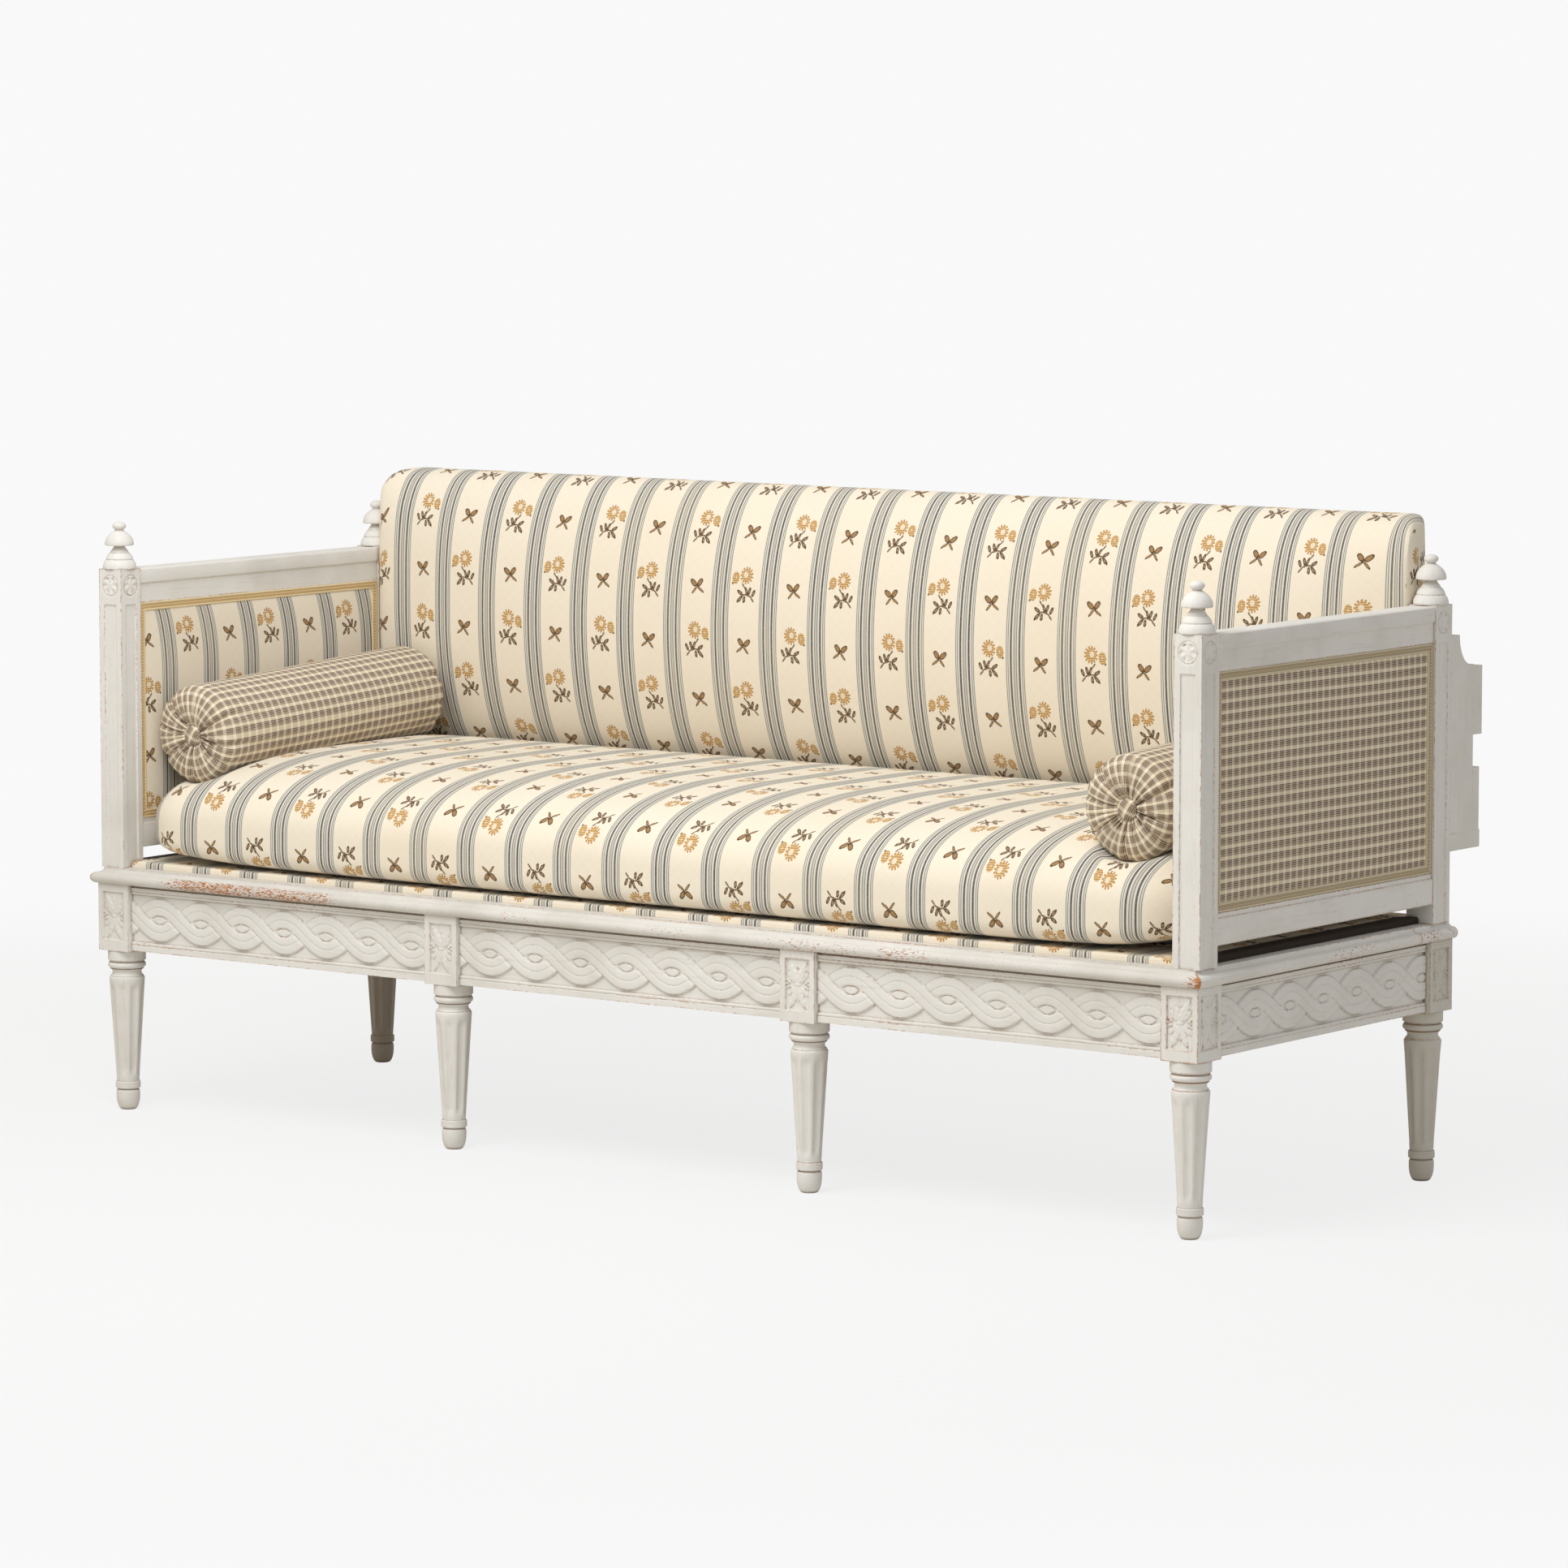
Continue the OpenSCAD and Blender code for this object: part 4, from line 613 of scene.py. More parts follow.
strips, given = tree_with("strips_of_webbing", [
    ("Count", "Int"), ("First", "Vector"), ("Pitch", "Vector"), ("Strip", "Vector"),
    ("Finish", "Material")])
line = add(strips, "GeometryNodeMeshLine", {"Count": given["Count"], "Start Location": given["First"],
                                            "Offset": given["Pitch"]})
strip = add(strips, "GeometryNodeMeshCube", {"Size": given["Strip"], "Vertices X": 5, "Vertices Y": 5})
laid = add(strips, "GeometryNodeInstanceOnPoints", {"Points": line, "Instance": strip})
laid = add(strips, "GeometryNodeRealizeInstances", {0: laid})
laid = add(strips, "GeometryNodeSetMaterial", {"Geometry": laid, "Material": given["Finish"]})
add(strips, "NodeGroupOutput", {0: laid})
web_width = 0.050
for name, count, pitch, along in (("cross_webs", 13, (0.14, 0, 0), 1),
                                  ("long_webs", 3, (0, 0.15, 0), 0)):
    low, high = [np.array(corner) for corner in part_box(name)]
    size = high - low
    size[1 - along] = web_width
    first = (low + high) / 2
    first[1 - along] = low[1 - along] + web_width / 2
    webs = grown("jute_" + name, strips, {"Count": count, "First": tuple(first), "Pitch": pitch,
                                         "Strip": tuple(size), "Finish": jute})
    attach(webs, "frame")
    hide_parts(name)

# Arms: a stuffed pad towards the seat and a tight checked cover outside, both tacked on the rails and
# posts. The pad, the deck and the loose cushions have one cloth: cream cotton with woven blue-grey
# stripes and small sprigs and leaf crosses in turn between them.
def leaf_oval(x0, y0, x1, y1, half_width):
    """Middle, half length, half width and turn of an oval between two points."""
    return ((x0 + x1) / 2, (y0 + y1) / 2, math.hypot(x1 - x0, y1 - y0) / 2 + 0.8, half_width,
            math.atan2(y1 - y0, x1 - x0))


def nearest_oval(tree, place, ovals):
    """How far a place lies from the middle of the nearest oval, as a share of the way to its rim."""
    best = None
    for x, y, long, wide, turn in ovals:
        local = add(tree, "Mapping", {"Vector": place, "Location": (x, y, 0), "Rotation": (0, 0, turn),
                                      "Scale": (long, wide, 1)}, vector_type="TEXTURE")
        share = add(tree, "VectorMath", {0: local}, operation="LENGTH", pick=1)
        best = add(tree, "MINIMUM", (best, share)) if best else share
    return best


cloth, tree = new_material("woven_cotton_stripe_and_sprigs")
uv = add(tree, "SeparateXYZ", {0: add(tree, "UVMap", uv_map="cloth")})
across, along = uv, uv.node.outputs[1]
# Stripes every 90.9 mm, and a row of sprigs or crosses every 88 mm between them
stripe_pitch, row_pitch = 0.0909, 0.088
column = add(tree, "DIVIDE", (across, stripe_pitch))
number = add(tree, "FLOOR", (column,))
inside = add(tree, "SUBTRACT", (add(tree, "SUBTRACT", (column, number)), 0.5))
row = add(tree, "DIVIDE", (along, row_pitch))
row_number = add(tree, "ROUND", (row,))
height = add(tree, "MULTIPLY", (add(tree, "SUBTRACT", (row, row_number)), row_pitch * 1000))
parity = add(tree, "FLOORED_MODULO", (number, 2.0))
mirrored = add(tree, "ADD", (add(tree, "MULTIPLY", (parity, -2.0)), 1.0))
width = add(tree, "MULTIPLY", (add(tree, "MULTIPLY", (inside, stripe_pitch * 1000)), mirrored))
cross_turn = add(tree, "FLOORED_MODULO", (add(tree, "ADD", (number, row_number)), 2.0))
sprig_turn = add(tree, "SUBTRACT", (1.0, cross_turn))
# The figures step from thread to thread, as a loom makes them: threads 1 mm apart
stepped = [add(tree, "SNAP", (axis, 1.0)) for axis in (width, height)]
spot = add(tree, "CombineXYZ", {0: stepped[0], 1: stepped[1]})

leaves_of_sprig = [leaf_oval(*v) for v in (
    (-19.4, -1.4, -14.2, -11.0, 2.6), (-11.2, 2.6, -7.4, -8.2, 2.6), (-1.8, 2.4, -5.2, -8.1, 2.2),
    (12.7, -2.5, 3.8, -9.0, 2.8), (0.8, -20.7, -0.7, -11.6, 2.8), (12.8, -20.2, 3.8, -10.8, 2.8),
    (5.2, 8.2, -0.7, 0.6, 1.3), (-0.7, 0.6, -5.2, -8.1, 1.3), (-17.9, -19.0, -11.2, -10.8, 1.4),
    (-11.2, -10.8, -2.2, -8.6, 1.4), (-2.2, -8.6, 6.8, -8.8, 1.4), (20.6, 12.0, 23.6, 7.0, 1.7))]
leaves_of_cross = [leaf_oval(*v) for v in (
    (1.0, 1.0, 8.4, 11.6, 4.3), (-1.4, 0.8, -12.4, 9.8, 4.3), (0.5, -0.5, 12.4, -8.6, 2.1),
    (-1, -1, -8.8, -10.6, 2.1))]
sprig_leaf = nearest_oval(tree, spot, leaves_of_sprig)
cross_leaf = nearest_oval(tree, spot, leaves_of_cross)
leaf_share = add(tree, "Mix", {0: cross_turn, 2: sprig_leaf, 3: cross_leaf})
leaf_core = add(tree, "Mix", {0: cross_turn, 2: 0.50, 3: 0.66})

# The flower's ring of rayed petals, its middle, and the bud beside it
petals = add(tree, "Mapping", {"Vector": spot, "Location": (-2.3, 20.9, 0), "Scale": (12.2, 13.2, 1)},
             vector_type="TEXTURE")
petal_share = add(tree, "VectorMath", {0: petals}, operation="LENGTH", pick=1)
part = add(tree, "SeparateXYZ", {0: petals})
turn = add(tree, "ARCTAN2", (part.node.outputs[1], part))
ray = add(tree, "COSINE", (add(tree, "MULTIPLY", (turn, 13.0)),))
rayed = add(tree, "GREATER_THAN", (ray, -0.25))
middle = add(tree, "LESS_THAN", (petal_share, 0.74))
bud = add(tree, "LESS_THAN", (nearest_oval(tree, spot, [(17.6, 16.7, 6.6, 9.4, 0.12)]), 1.0))
flower = add(tree, "MULTIPLY", (add(tree, "LESS_THAN", (petal_share, 1.0)),
                                add(tree, "MAXIMUM", (rayed, middle))))
flower = add(tree, "MULTIPLY", (add(tree, "MAXIMUM", (flower, bud)), sprig_turn))
hole_share = nearest_oval(tree, spot, [(-0.6, 21.9, 4.2, 4.9, 0.0), (17.4, 17.5, 1.0, 1.8, 0.0)])
hole = add(tree, "LESS_THAN", (hole_share, 1.0))
leaf = add(tree, "LESS_THAN", (leaf_share, 1.0))
core = add(tree, "LESS_THAN", (leaf_share, leaf_core))

# Floats of the flower's weft: rows 3.5 mm apart inside the ring, with the cream showing in between
floats = add(tree, "LESS_THAN", (add(tree, "FLOORED_MODULO", (height, 3.5)), 1.1))
floats = add(tree, "MULTIPLY", (floats, add(tree, "MAXIMUM", (middle, bud))))
petal_colour = add(tree, "Blend", {0: floats, 6: linear("BF945A"), 7: linear("E2C796")})
petal_colour = add(tree, "Blend", {0: hole, 6: petal_colour, 7: linear("EBDCC4")})
inner_leaf = add(tree, "Blend", {0: cross_turn, 6: linear("9C8A70"), 7: linear("A38258")})
leaf_colour = add(tree, "Blend", {0: core, 6: linear("654C34"), 7: inner_leaf})

# Warp stripes: six thin and two thick grey lines on a pale band 35 mm wide, which is greyer in the
# middle. The marks count from there, 20 mm to one.
from_stripe = add(tree, "ADD", (add(tree, "ABSOLUTE", (inside,)), -0.5))
from_stripe = add(tree, "MULTIPLY", (add(tree, "ABSOLUTE", (from_stripe,)), stripe_pitch / 0.020))
cream, pale, thin, thick = (linear(c) for c in ("F3E9D6", "DEDACD", "757170", "5F5D60"))
marks = [(0.0, linear("C6C1B6")), (0.085, thin), (0.138, pale), (0.300, thick), (0.460, pale),
         (0.605, thin), (0.660, pale), (0.755, thin), (0.808, pale), (0.870, cream)]
band = add(tree, "ValToRGB", {0: from_stripe}, stops=marks, steps=True)
# A faint lattice of floats in the cream ground, 21 mm from corner to corner
slants = []
for sign in (1.0, -1.0):
    slant = add(tree, "ADD", (across, add(tree, "MULTIPLY", (along, sign))))
    slants.append(add(tree, "PINGPONG", (slant, 0.0105)))
lattice = add(tree, "LESS_THAN", (add(tree, "MINIMUM", (slants[0], slants[1])), 0.0009))
ground = add(tree, "Blend", {0: add(tree, "MULTIPLY", (lattice, 0.10)), 6: band, 7: linear("D9CDB2")})
aged = add(tree, "TexNoise", {"Vector": add(tree, "UVMap", uv_map="cloth"), "Scale": 4.0, "Detail": 3.0})
tired = add(tree, "MapRange", {"Value": aged, "From Min": 0.45, "From Max": 0.80, "To Max": 0.20})
ground = add(tree, "Blend", {0: tired, 6: ground, 7: linear("E5D3B0")})
colour = add(tree, "Blend", {0: leaf, 6: ground, 7: leaf_colour})
colour = add(tree, "Blend", {0: flower, 6: colour, 7: petal_colour})


def plain_weave(tree, across, along):
    """Crossing threads of a plain weave, drawn 1.6 mm coarse so that they show."""
    return add(tree, "MULTIPLY", [add(tree, "SINE", (add(tree, "MULTIPLY", (axis, 2 * math.pi / 0.0016)),))
                                  for axis in (across, along)])


# The figures stand up a little from the weave
weave = plain_weave(tree, across, along)
figure = add(tree, "MULTIPLY", (add(tree, "MAXIMUM", (leaf, flower)), 1.6))
raised = add(tree, "ADD", (weave, figure))
bump = add(tree, "Bump", {"Strength": 0.30, "Distance": 0.0004, "Height": raised})
surfaced(tree, {"Base Color": colour, "Roughness": 0.88, "Normal": bump, "Specular IOR Level": 0.2,
                "Sheen Weight": 0.12, "Sheen Roughness": 0.5})

check, tree = new_material("woven_cotton_small_check")
uv = add(tree, "SeparateXYZ", {0: add(tree, "UVMap", uv_map="cloth")})
row_share, column_share = [add(tree, "FRACT", (add(tree, "DIVIDE", (way, pitch)),))
                           for way, pitch in ((uv.node.outputs[1], 0.0153), (uv, 0.0163))]
ink, faint, gap, ivory, taupe, rose = (linear(c) for c in (
    "463C38", "8F8070", "C3B099", "F3E6CA", "877561", "A48E7A"))
rows = add(tree, "ValToRGB", {0: row_share}, stops=[
    (0.0, ivory), (0.31, gap), (0.40, faint), (0.455, gap), (0.56, ink), (0.635, gap),
    (0.73, ink), (0.805, gap), (0.90, ink), (0.965, gap)], steps=True)
columns = add(tree, "ValToRGB", {0: column_share}, stops=[
    (0.0, linear("F6ECD6")), (0.34, taupe), (0.50, rose), (0.60, taupe), (0.78, rose),
    (0.88, taupe)], steps=True)
bright = add(tree, "LESS_THAN", (column_share, 0.34))
share = add(tree, "Mix", {0: bright, 2: 0.27, 3: 0.42})
colour = add(tree, "Blend", {0: share, 6: rows, 7: columns})
weave = plain_weave(tree, uv, uv.node.outputs[1])
bump = add(tree, "Bump", {"Strength": 0.35, "Distance": 0.0004, "Height": weave})
surfaced(tree, {"Base Color": colour, "Roughness": 0.9, "Normal": bump, "Specular IOR Level": 0.2,
                "Sheen Weight": 0.12})


braid_width = 13


def braid_cloth(name, cord, sunk, twined):
    """Flat silk braid: a twined cord at each edge, and a sunk middle."""
    half_width = braid_width / 2000
    material, tree = new_material(name)
    uv = add(tree, "SeparateXYZ", {0: add(tree, "UVMap", uv_map="cloth")})
    run, wide = uv, uv.node.outputs[1]
    lean = add(tree, "PINGPONG", (wide, half_width))
    slope = add(tree, "ADD", (run, lean))
    twist = add(tree, "SINE", (add(tree, "MULTIPLY", (slope, 2 * math.pi / 0.0030)),))
    tone = add(tree, "MapRange", {"Value": twist, "From Min": -1.0, "From Max": 1.0})
    lines = [(0.0, linear(cord)), (0.50, linear(sunk)), (0.62, linear(twined)), (0.80, linear(sunk))]
    across_it = add(tree, "ValToRGB", {0: add(tree, "DIVIDE", (lean, half_width))}, stops=lines, steps=True)
    colour = add(tree, "Blend", {0: add(tree, "MULTIPLY", (tone, 0.45)), 6: across_it, 7: linear(sunk)})
    bump = add(tree, "Bump", {"Strength": 0.6, "Distance": 0.0006, "Height": tone})
    surfaced(tree, {"Base Color": colour, "Roughness": 0.75, "Normal": bump, "Sheen Weight": 0.2})
    return material


ochre_braid = braid_cloth("ochre_silk_braid", "EFDDB2", "C6A266", "E4C892")
mixed_braid = braid_cloth("mixed_silk_braid", "E4D7B8", "9C8A6E", "CBB996")
# Twisted silk thread of the stitches, lighter than the braid
light_thread, tree = new_material("light_silk_thread")
fuzz = add(tree, "TexNoise", {"Vector": add(tree, "TexCoord", pick=3), "Scale": 1400.0, "Detail": 2.0})
tone = add(tree, "ValToRGB", {0: fuzz}, stops=[(0.35, linear("DFC796")), (0.65, linear("F3E6C4"))])
surfaced(tree, {"Base Color": tone, "Roughness": 0.6, "Sheen Weight": 0.2})


def crown(u, power):
    """Height of a rounded top from 1 in the middle to 0 at both ends, fuller with a higher power."""
    return (1 - np.abs(np.clip(u, -1, 1)) ** power) ** (1 / power)


def bulge(y, z, power):
    """Share of a panel's full swelling, which begins under the braid."""
    return crown((y - arm_mid) / (arm_half - 12), power) * crown((z - pad_mid) / (pad_half - 12), power)


def panel(name, x, behind, finish, places):
    """A stuffed panel of the arm: its swelling face, closed by a flat back."""
    closed = [np.stack([np.full(len(x), behind), y[:, 0], np.full(len(x), level)], -1)[:, None]
              for level in (pad_high, pad_low)]
    rings = np.concatenate([np.stack([x, y, z], -1), *closed], 1)
    places = np.concatenate([places, places[:, -1:], places[:, :1], places[:, :1]], 1)
    return skin(name, rings / 1000, finish, places, sharp=60)


pad_low, pad_high = (corner[2] for corner in box_mm("left_arm_pad"))
arm_mid, arm_half = (arm_front + arm_rear) / 2, (arm_rear - arm_front) / 2
pad_mid, pad_half = (pad_low + pad_high) / 2, (pad_high - pad_low) / 2
pad_face, pad_behind = 958.2, 990.0
y, z = np.meshgrid(arm_mid + arm_half * np.sin(np.linspace(-90, 90, 96) * math.pi / 180),
                   pad_mid + pad_half * np.sin(np.linspace(-90, 90, 64) * math.pi / 180), indexing="ij")
for side, sign in (("left", -1), ("right", 1)):
    # Stuffed pad with the striped cloth, flat under the braid and swelling inside it. The cloth is
    # stretched there, so the stripes come every 94.6 mm, and they are pulled forward towards its foot.
    swelling = 4 * bulge(y, z, 2.6)
    swelling += 0.3 * np.sin(y / 31 + 1) * np.sin(z / 27) * (swelling > 2)
    pulled = 19 * np.clip(1 - (pad_high - z) / 105, 0, 1) ** 2
    place_u = (y + pulled + shift - 163.8) / 1000 * (stripe_pitch / 0.0946) + stripe_pitch
    place_v = (z - 716.0) / 1000 + row_pitch
    pad = panel(side + "_stuffed_arm", sign * (pad_face - np.clip(swelling, 0, 4)), sign * pad_behind,
                cloth, np.stack([place_u, place_v], -1))
    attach(pad, "frame")
    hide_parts(side + "_arm_pad")
    # Tight checked cover outside, over a thin layer of wadding
    low_x, high_x = sorted(abs(corner[0]) for corner in box_mm(side + "_arm_cover"))
    sag = 1.5 * np.sin((y - arm_mid) / 140) + 0.8 * np.sin(z / 60)
    places = np.stack([(y + 0.6 * np.sin(z / 45)) / 1000, (z + sag - 730.9) / 1000], -1)
    cover = panel(side + "_checked_cover", sign * (high_x + 1.6 * bulge(y, z, 2.2)), sign * low_x,
                  check, places)
    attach(cover, "frame")
    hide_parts(side + "_arm_cover")

# Braids: a mitred frame of braid glued over the tacks round each pad and cover, 13 mm wide, with two
# edge cords and a row of light stitches along its middle, one every 4.8 mm.
profile = [(0, 0), (0.2, 1.5), (1.3, 2.3), (2.6, 2.1), (3.4, 1.2), (4.8, 1.5), (6.5, 1.7), (8.2, 1.5),
           (9.6, 1.2), (10.4, 2.1), (11.7, 2.3), (12.8, 1.5), (braid_width, 0)]
stitches, given = tree_with("stitches_along_a_frame", [
    ("Width", "Float"), ("Height", "Float"), ("Place", "Vector"), ("Spacing", "Float"),
    ("Stitch", "Vector"), ("Finish", "Material")])
path = add(stitches, "GeometryNodeCurvePrimitiveQuadrilateral",
           {"Width": given["Width"], "Height": given["Height"]})
path = add(stitches, "GeometryNodeTransform", {"Geometry": path, "Translation": given["Place"],
                                               "Rotation": (math.pi / 2, 0, math.pi / 2)})
path = add(stitches, "GeometryNodeResampleCurve", {"Curve": path, "Length": given["Spacing"]},
           mode="LENGTH")
bead = add(stitches, "GeometryNodeMeshIcoSphere", {"Radius": 1.0, "Subdivisions": 1})
bead = add(stitches, "GeometryNodeTransform", {"Geometry": bead, "Scale": given["Stitch"]})
run = add(stitches, "FunctionNodeAlignRotationToVector",
          {"Vector": add(stitches, "GeometryNodeInputTangent")}, axis="Z")
sewn = add(stitches, "GeometryNodeInstanceOnPoints", {"Points": path, "Instance": bead, "Rotation": run})
sewn = add(stitches, "GeometryNodeRealizeInstances", {0: sewn})
sewn = add(stitches, "GeometryNodeSetMaterial", {"Geometry": sewn, "Material": given["Finish"]})
add(stitches, "NodeGroupOutput", {0: sewn})
for side, sign in (("left", -1), ("right", 1)):
    for kind, way, finish, slot in (("inner", -1, ochre_braid, "ochre_braid"),
                                    ("outer", 1, mixed_braid, "mixed_braid")):
        name = side + "_" + kind + "_gimp"
        low, high = box_mm(name)
        ground_x = (min if way > 0 else max)(abs(low[0]), abs(high[0]))
        corners = [(low[1], low[2], 1, 1), (high[1], low[2], -1, 1), (high[1], high[2], -1, -1),
                   (low[1], high[2], 1, -1)]
        rings, ways, gone = [], [], 0.0
        for k in range(4):
            (y0, z0, ay, az), (y1, z1, by, bz) = corners[k], corners[(k + 1) % 4]
            length = math.hypot(y1 - y0, z1 - z0)
            for t in np.linspace(0, 1, 25)[:-1]:
                rings.append([(sign * (ground_x + way * h), (y0 + p * ay) * (1 - t) + (y1 + p * by) * t,
                               (z0 + p * az) * (1 - t) + (z1 + p * bz) * t) for p, h in profile])
                ways.append(gone + t * length)
            gone += length
        uvs = [[(u, p) for p, h in profile] + [(u, 0)] for u in ways + [gone]]
        braid = skin(name + "_braid", np.array(rings) / 1000, finish, np.array(uvs) / 1000, sharp=50,
                     ring=True)
        row = grown(name + "_stitches", stitches, {
            "Width": (high[1] - low[1] - braid_width) / 1000,
            "Height": (high[2] - low[2] - braid_width) / 1000,
            "Place": (sign * (ground_x + way * 1.6) / 1000, (low[1] + high[1]) / 2000,
                      (low[2] + high[2]) / 2000),
            "Spacing": 0.0048, "Stitch": (0.0015, 0.0007, 0.0017), "Finish": light_thread})
        for part in (braid, row):
            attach(part, "frame")
        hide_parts(name)

# Deck: horsehair on the webs under a tight cover of the striped cloth, tacked down along its edge and
# cut out round the posts. Its front edge shows between the seat cushion and the board.
def deck_outline(inset):
    """The deck's edge in millimetres from the middle, counterclockwise, cut out round the posts."""
    a, b, c, d = 974.5 - inset, 281.6 - inset, 953.2 - inset, 308.0 - inset
    corners = [(a, -b), (a, b), (c, b), (c, d), (-c, d), (-c, b)]
    corners += [(-x, -y) for x, y in corners]
    counts = (30, 2, 3, 90, 3, 2) * 2
    edge = []
    for k, count in enumerate(counts):
        (x0, y0), (x1, y1) = corners[k], corners[(k + 1) % 12]
        edge += [(x0 + (x1 - x0) * t, y0 + (y1 - y0) * t) for t in np.linspace(0, 1, count + 1)[:-1]]
    return np.array(edge)


deck_low, deck_high = (corner[2] for corner in box_mm("deck_cover"))
deck_rings, deck_uvs = [], []
# The last ring leaves a strip along the edge that takes the painted shade under the arms
for z, inset in ((deck_low + 0.1, 0.0), (deck_low + 6.0, 0.0), (deck_low + 8.2, 0.6),
                 (deck_low + 9.2, 1.8), (deck_high, 4.0), (deck_high, 26.0)):
    edge = deck_outline(inset)
    deck_rings.append(np.column_stack([edge[:, 0], edge[:, 1] - shift, np.full(len(edge), z)]))
    down = deck_high - z
    place = np.column_stack([(36 - edge[:, 0]) * 0.963,
                             72 - edge[:, 1] - np.sign(edge[:, 1]) * down]) / 1000
    deck_uvs.append(np.vstack([place, place[:1]]))
deck = skin("stuffed_deck", np.array(deck_rings) / 1000, cloth, np.array(deck_uvs), sharp=70)
# Painted shade: a dull dark brown on the deck's edge under the arms and on the ends of the seat cushion,
# where deep shade falls
painted_shade_cloth, tree = new_material("dark_brown_painted_shade")
surfaced(tree, {"Base Color": linear("32281F"), "Roughness": 0.9})
deck.data.materials.append(painted_shade_cloth)
# The deck's faces under the arms take the dark brown painted shade
for face in deck.data.polygons:
    if abs(face.center[0]) > 0.9535 and len(face.vertices) == 4:
        face.material_index = 1
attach(deck, "frame")
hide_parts("deck_cover", "deck_pad")

# Loose cushions: feather-filled cases of the striped cloth, one on the deck and one standing on the
# shelf behind it. The seat is crowned and rounded in front, and the back is a long barrel.
def even_ring(points, count):
    """A closed ring of points at even distances."""
    closed = np.vstack([points, points[:1]])
    steps = np.concatenate([[0], np.cumsum(np.linalg.norm(np.diff(closed, axis=0), axis=1))])
    wanted = np.linspace(0, steps[-1], count + 1)
    return np.column_stack([np.interp(wanted, steps, closed[:, k]) for k in range(3)])


def cloth_places(rings):
    """Place of each point on the cloth: along the sofa from its middle, and round the middle section."""
    m = len(rings)
    step = np.linalg.norm(np.diff(rings, axis=0), axis=2)
    run = np.concatenate([np.zeros((1, rings.shape[1])), np.cumsum(step, axis=0)])
    run -= (run[(m - 1) // 2] + run[m // 2]) / 2
    middle = rings[m // 2]
    round_it = np.concatenate([[0], np.cumsum(np.linalg.norm(np.diff(middle, axis=0), axis=1))])
    return run, np.broadcast_to(round_it, run.shape)


def with_flat_ends(rings, uvs):
    """Smaller rings in both ends, with the cloth turned round the front corner and laid flat there."""
    front = int(np.argmin(rings[len(rings) // 2, :, 1]))
    way = np.sign(uvs[-1, front, 0] - uvs[0, front, 0])
    rise = np.sign((uvs[0, front + 2, 1] - uvs[0, front - 2, 1])
                   * (rings[0, front + 2, 2] - rings[0, front - 2, 2]))
    caps, cap_uvs = [], []
    for k, turn in ((0, -way), (-1, way)):
        end = rings[k]
        middle = (end.min(0) + end.max(0)) / 2
        sizes = (1, 0.94, 0.5) if k else (0.5, 0.94, 1)
        cap = np.array([middle + (end - middle) * size for size in sizes])
        flat = np.stack([turn * (cap[..., 1] - end[front, 1]), rise * (cap[..., 2] - end[front, 2])], -1)
        caps.append(cap)
        cap_uvs.append(uvs[k, front] + flat / 1000)
    return (np.concatenate([caps[0], rings, caps[1]]), np.concatenate([cap_uvs[0], uvs, cap_uvs[1]]))


def corner_draw(x, half, r):
    """How far a corner rounded with radius r has drawn in at x."""
    past = np.clip(np.abs(x) - half + r, 0, r)
    return r - np.sqrt(r * r - past * past)


def end_places(half, count):
    """Places along a cushion, closer together at the ends."""
    flat = np.linspace(-1, 1, count)
    return half * (0.35 * np.sin(np.radians(89.2) * flat) + 0.65 * flat)


def swell(piece, pressure, cap):
    """Air pressure fills the sewn case for twenty frames, and no point moves further than cap."""
    scene = bpy.context.scene
    count = len(piece.data.vertices)
    start = np.empty(count * 3)
    piece.data.vertices.foreach_get("co", start)
    start = start.reshape(-1, 3)
    filling = piece.modifiers.new("filling", "CLOTH")
    filling.settings.quality = 4
    filling.settings.mass = 0.3
    filling.settings.use_pressure = True
    filling.settings.uniform_pressure_force = pressure
    filling.settings.effector_weights.gravity = 0.0
    filling.settings.tension_stiffness = filling.settings.compression_stiffness = 12.0
    filling.settings.bending_stiffness = 0.4
    filling.collision_settings.use_collision = False
    for frame_number in range(1, 21):
        scene.frame_set(frame_number)
    settled = piece.evaluated_get(bpy.context.evaluated_depsgraph_get())
    end = np.empty(count * 3)
    settled.data.vertices.foreach_get("co", end)
    move = end.reshape(-1, 3) - start
    length = np.linalg.norm(move, axis=1, keepdims=True)
    move *= np.minimum(1, cap / np.maximum(length, 1e-9))
    piece.modifiers.remove(filling)
    piece.data.vertices.foreach_set("co", (start + move).ravel())
    scene.frame_set(1)


def kept_in(piece, rule):
    """Moves the points by a rule on all their places at once, in metres."""
    count = len(piece.data.vertices)
    co = np.empty(count * 3)
    piece.data.vertices.foreach_get("co", co)
    co = rule(co.reshape(-1, 3))
    piece.data.vertices.foreach_set("co", co.ravel())
    piece.data.update()


def finer(piece):
    """One level of subdivision, live, the same in the render."""
    soften = piece.modifiers.new("soften", "SUBSURF")
    soften.levels = soften.render_levels = 1
    soften.boundary_smooth = "PRESERVE_CORNERS"


bolster_z, bolster_r, bolster_l, bolster_tilt = 0.576, 0.076, 0.534, math.radians(3)
bolster_start = -0.29712
bolster_way = np.array([0, math.cos(bolster_tilt), math.sin(bolster_tilt)])
bolster_xs = {"left": -0.8765, "right": 0.8300}
seat_side = 0.47  # above this height the seat's crown gives way, and its sides below don't


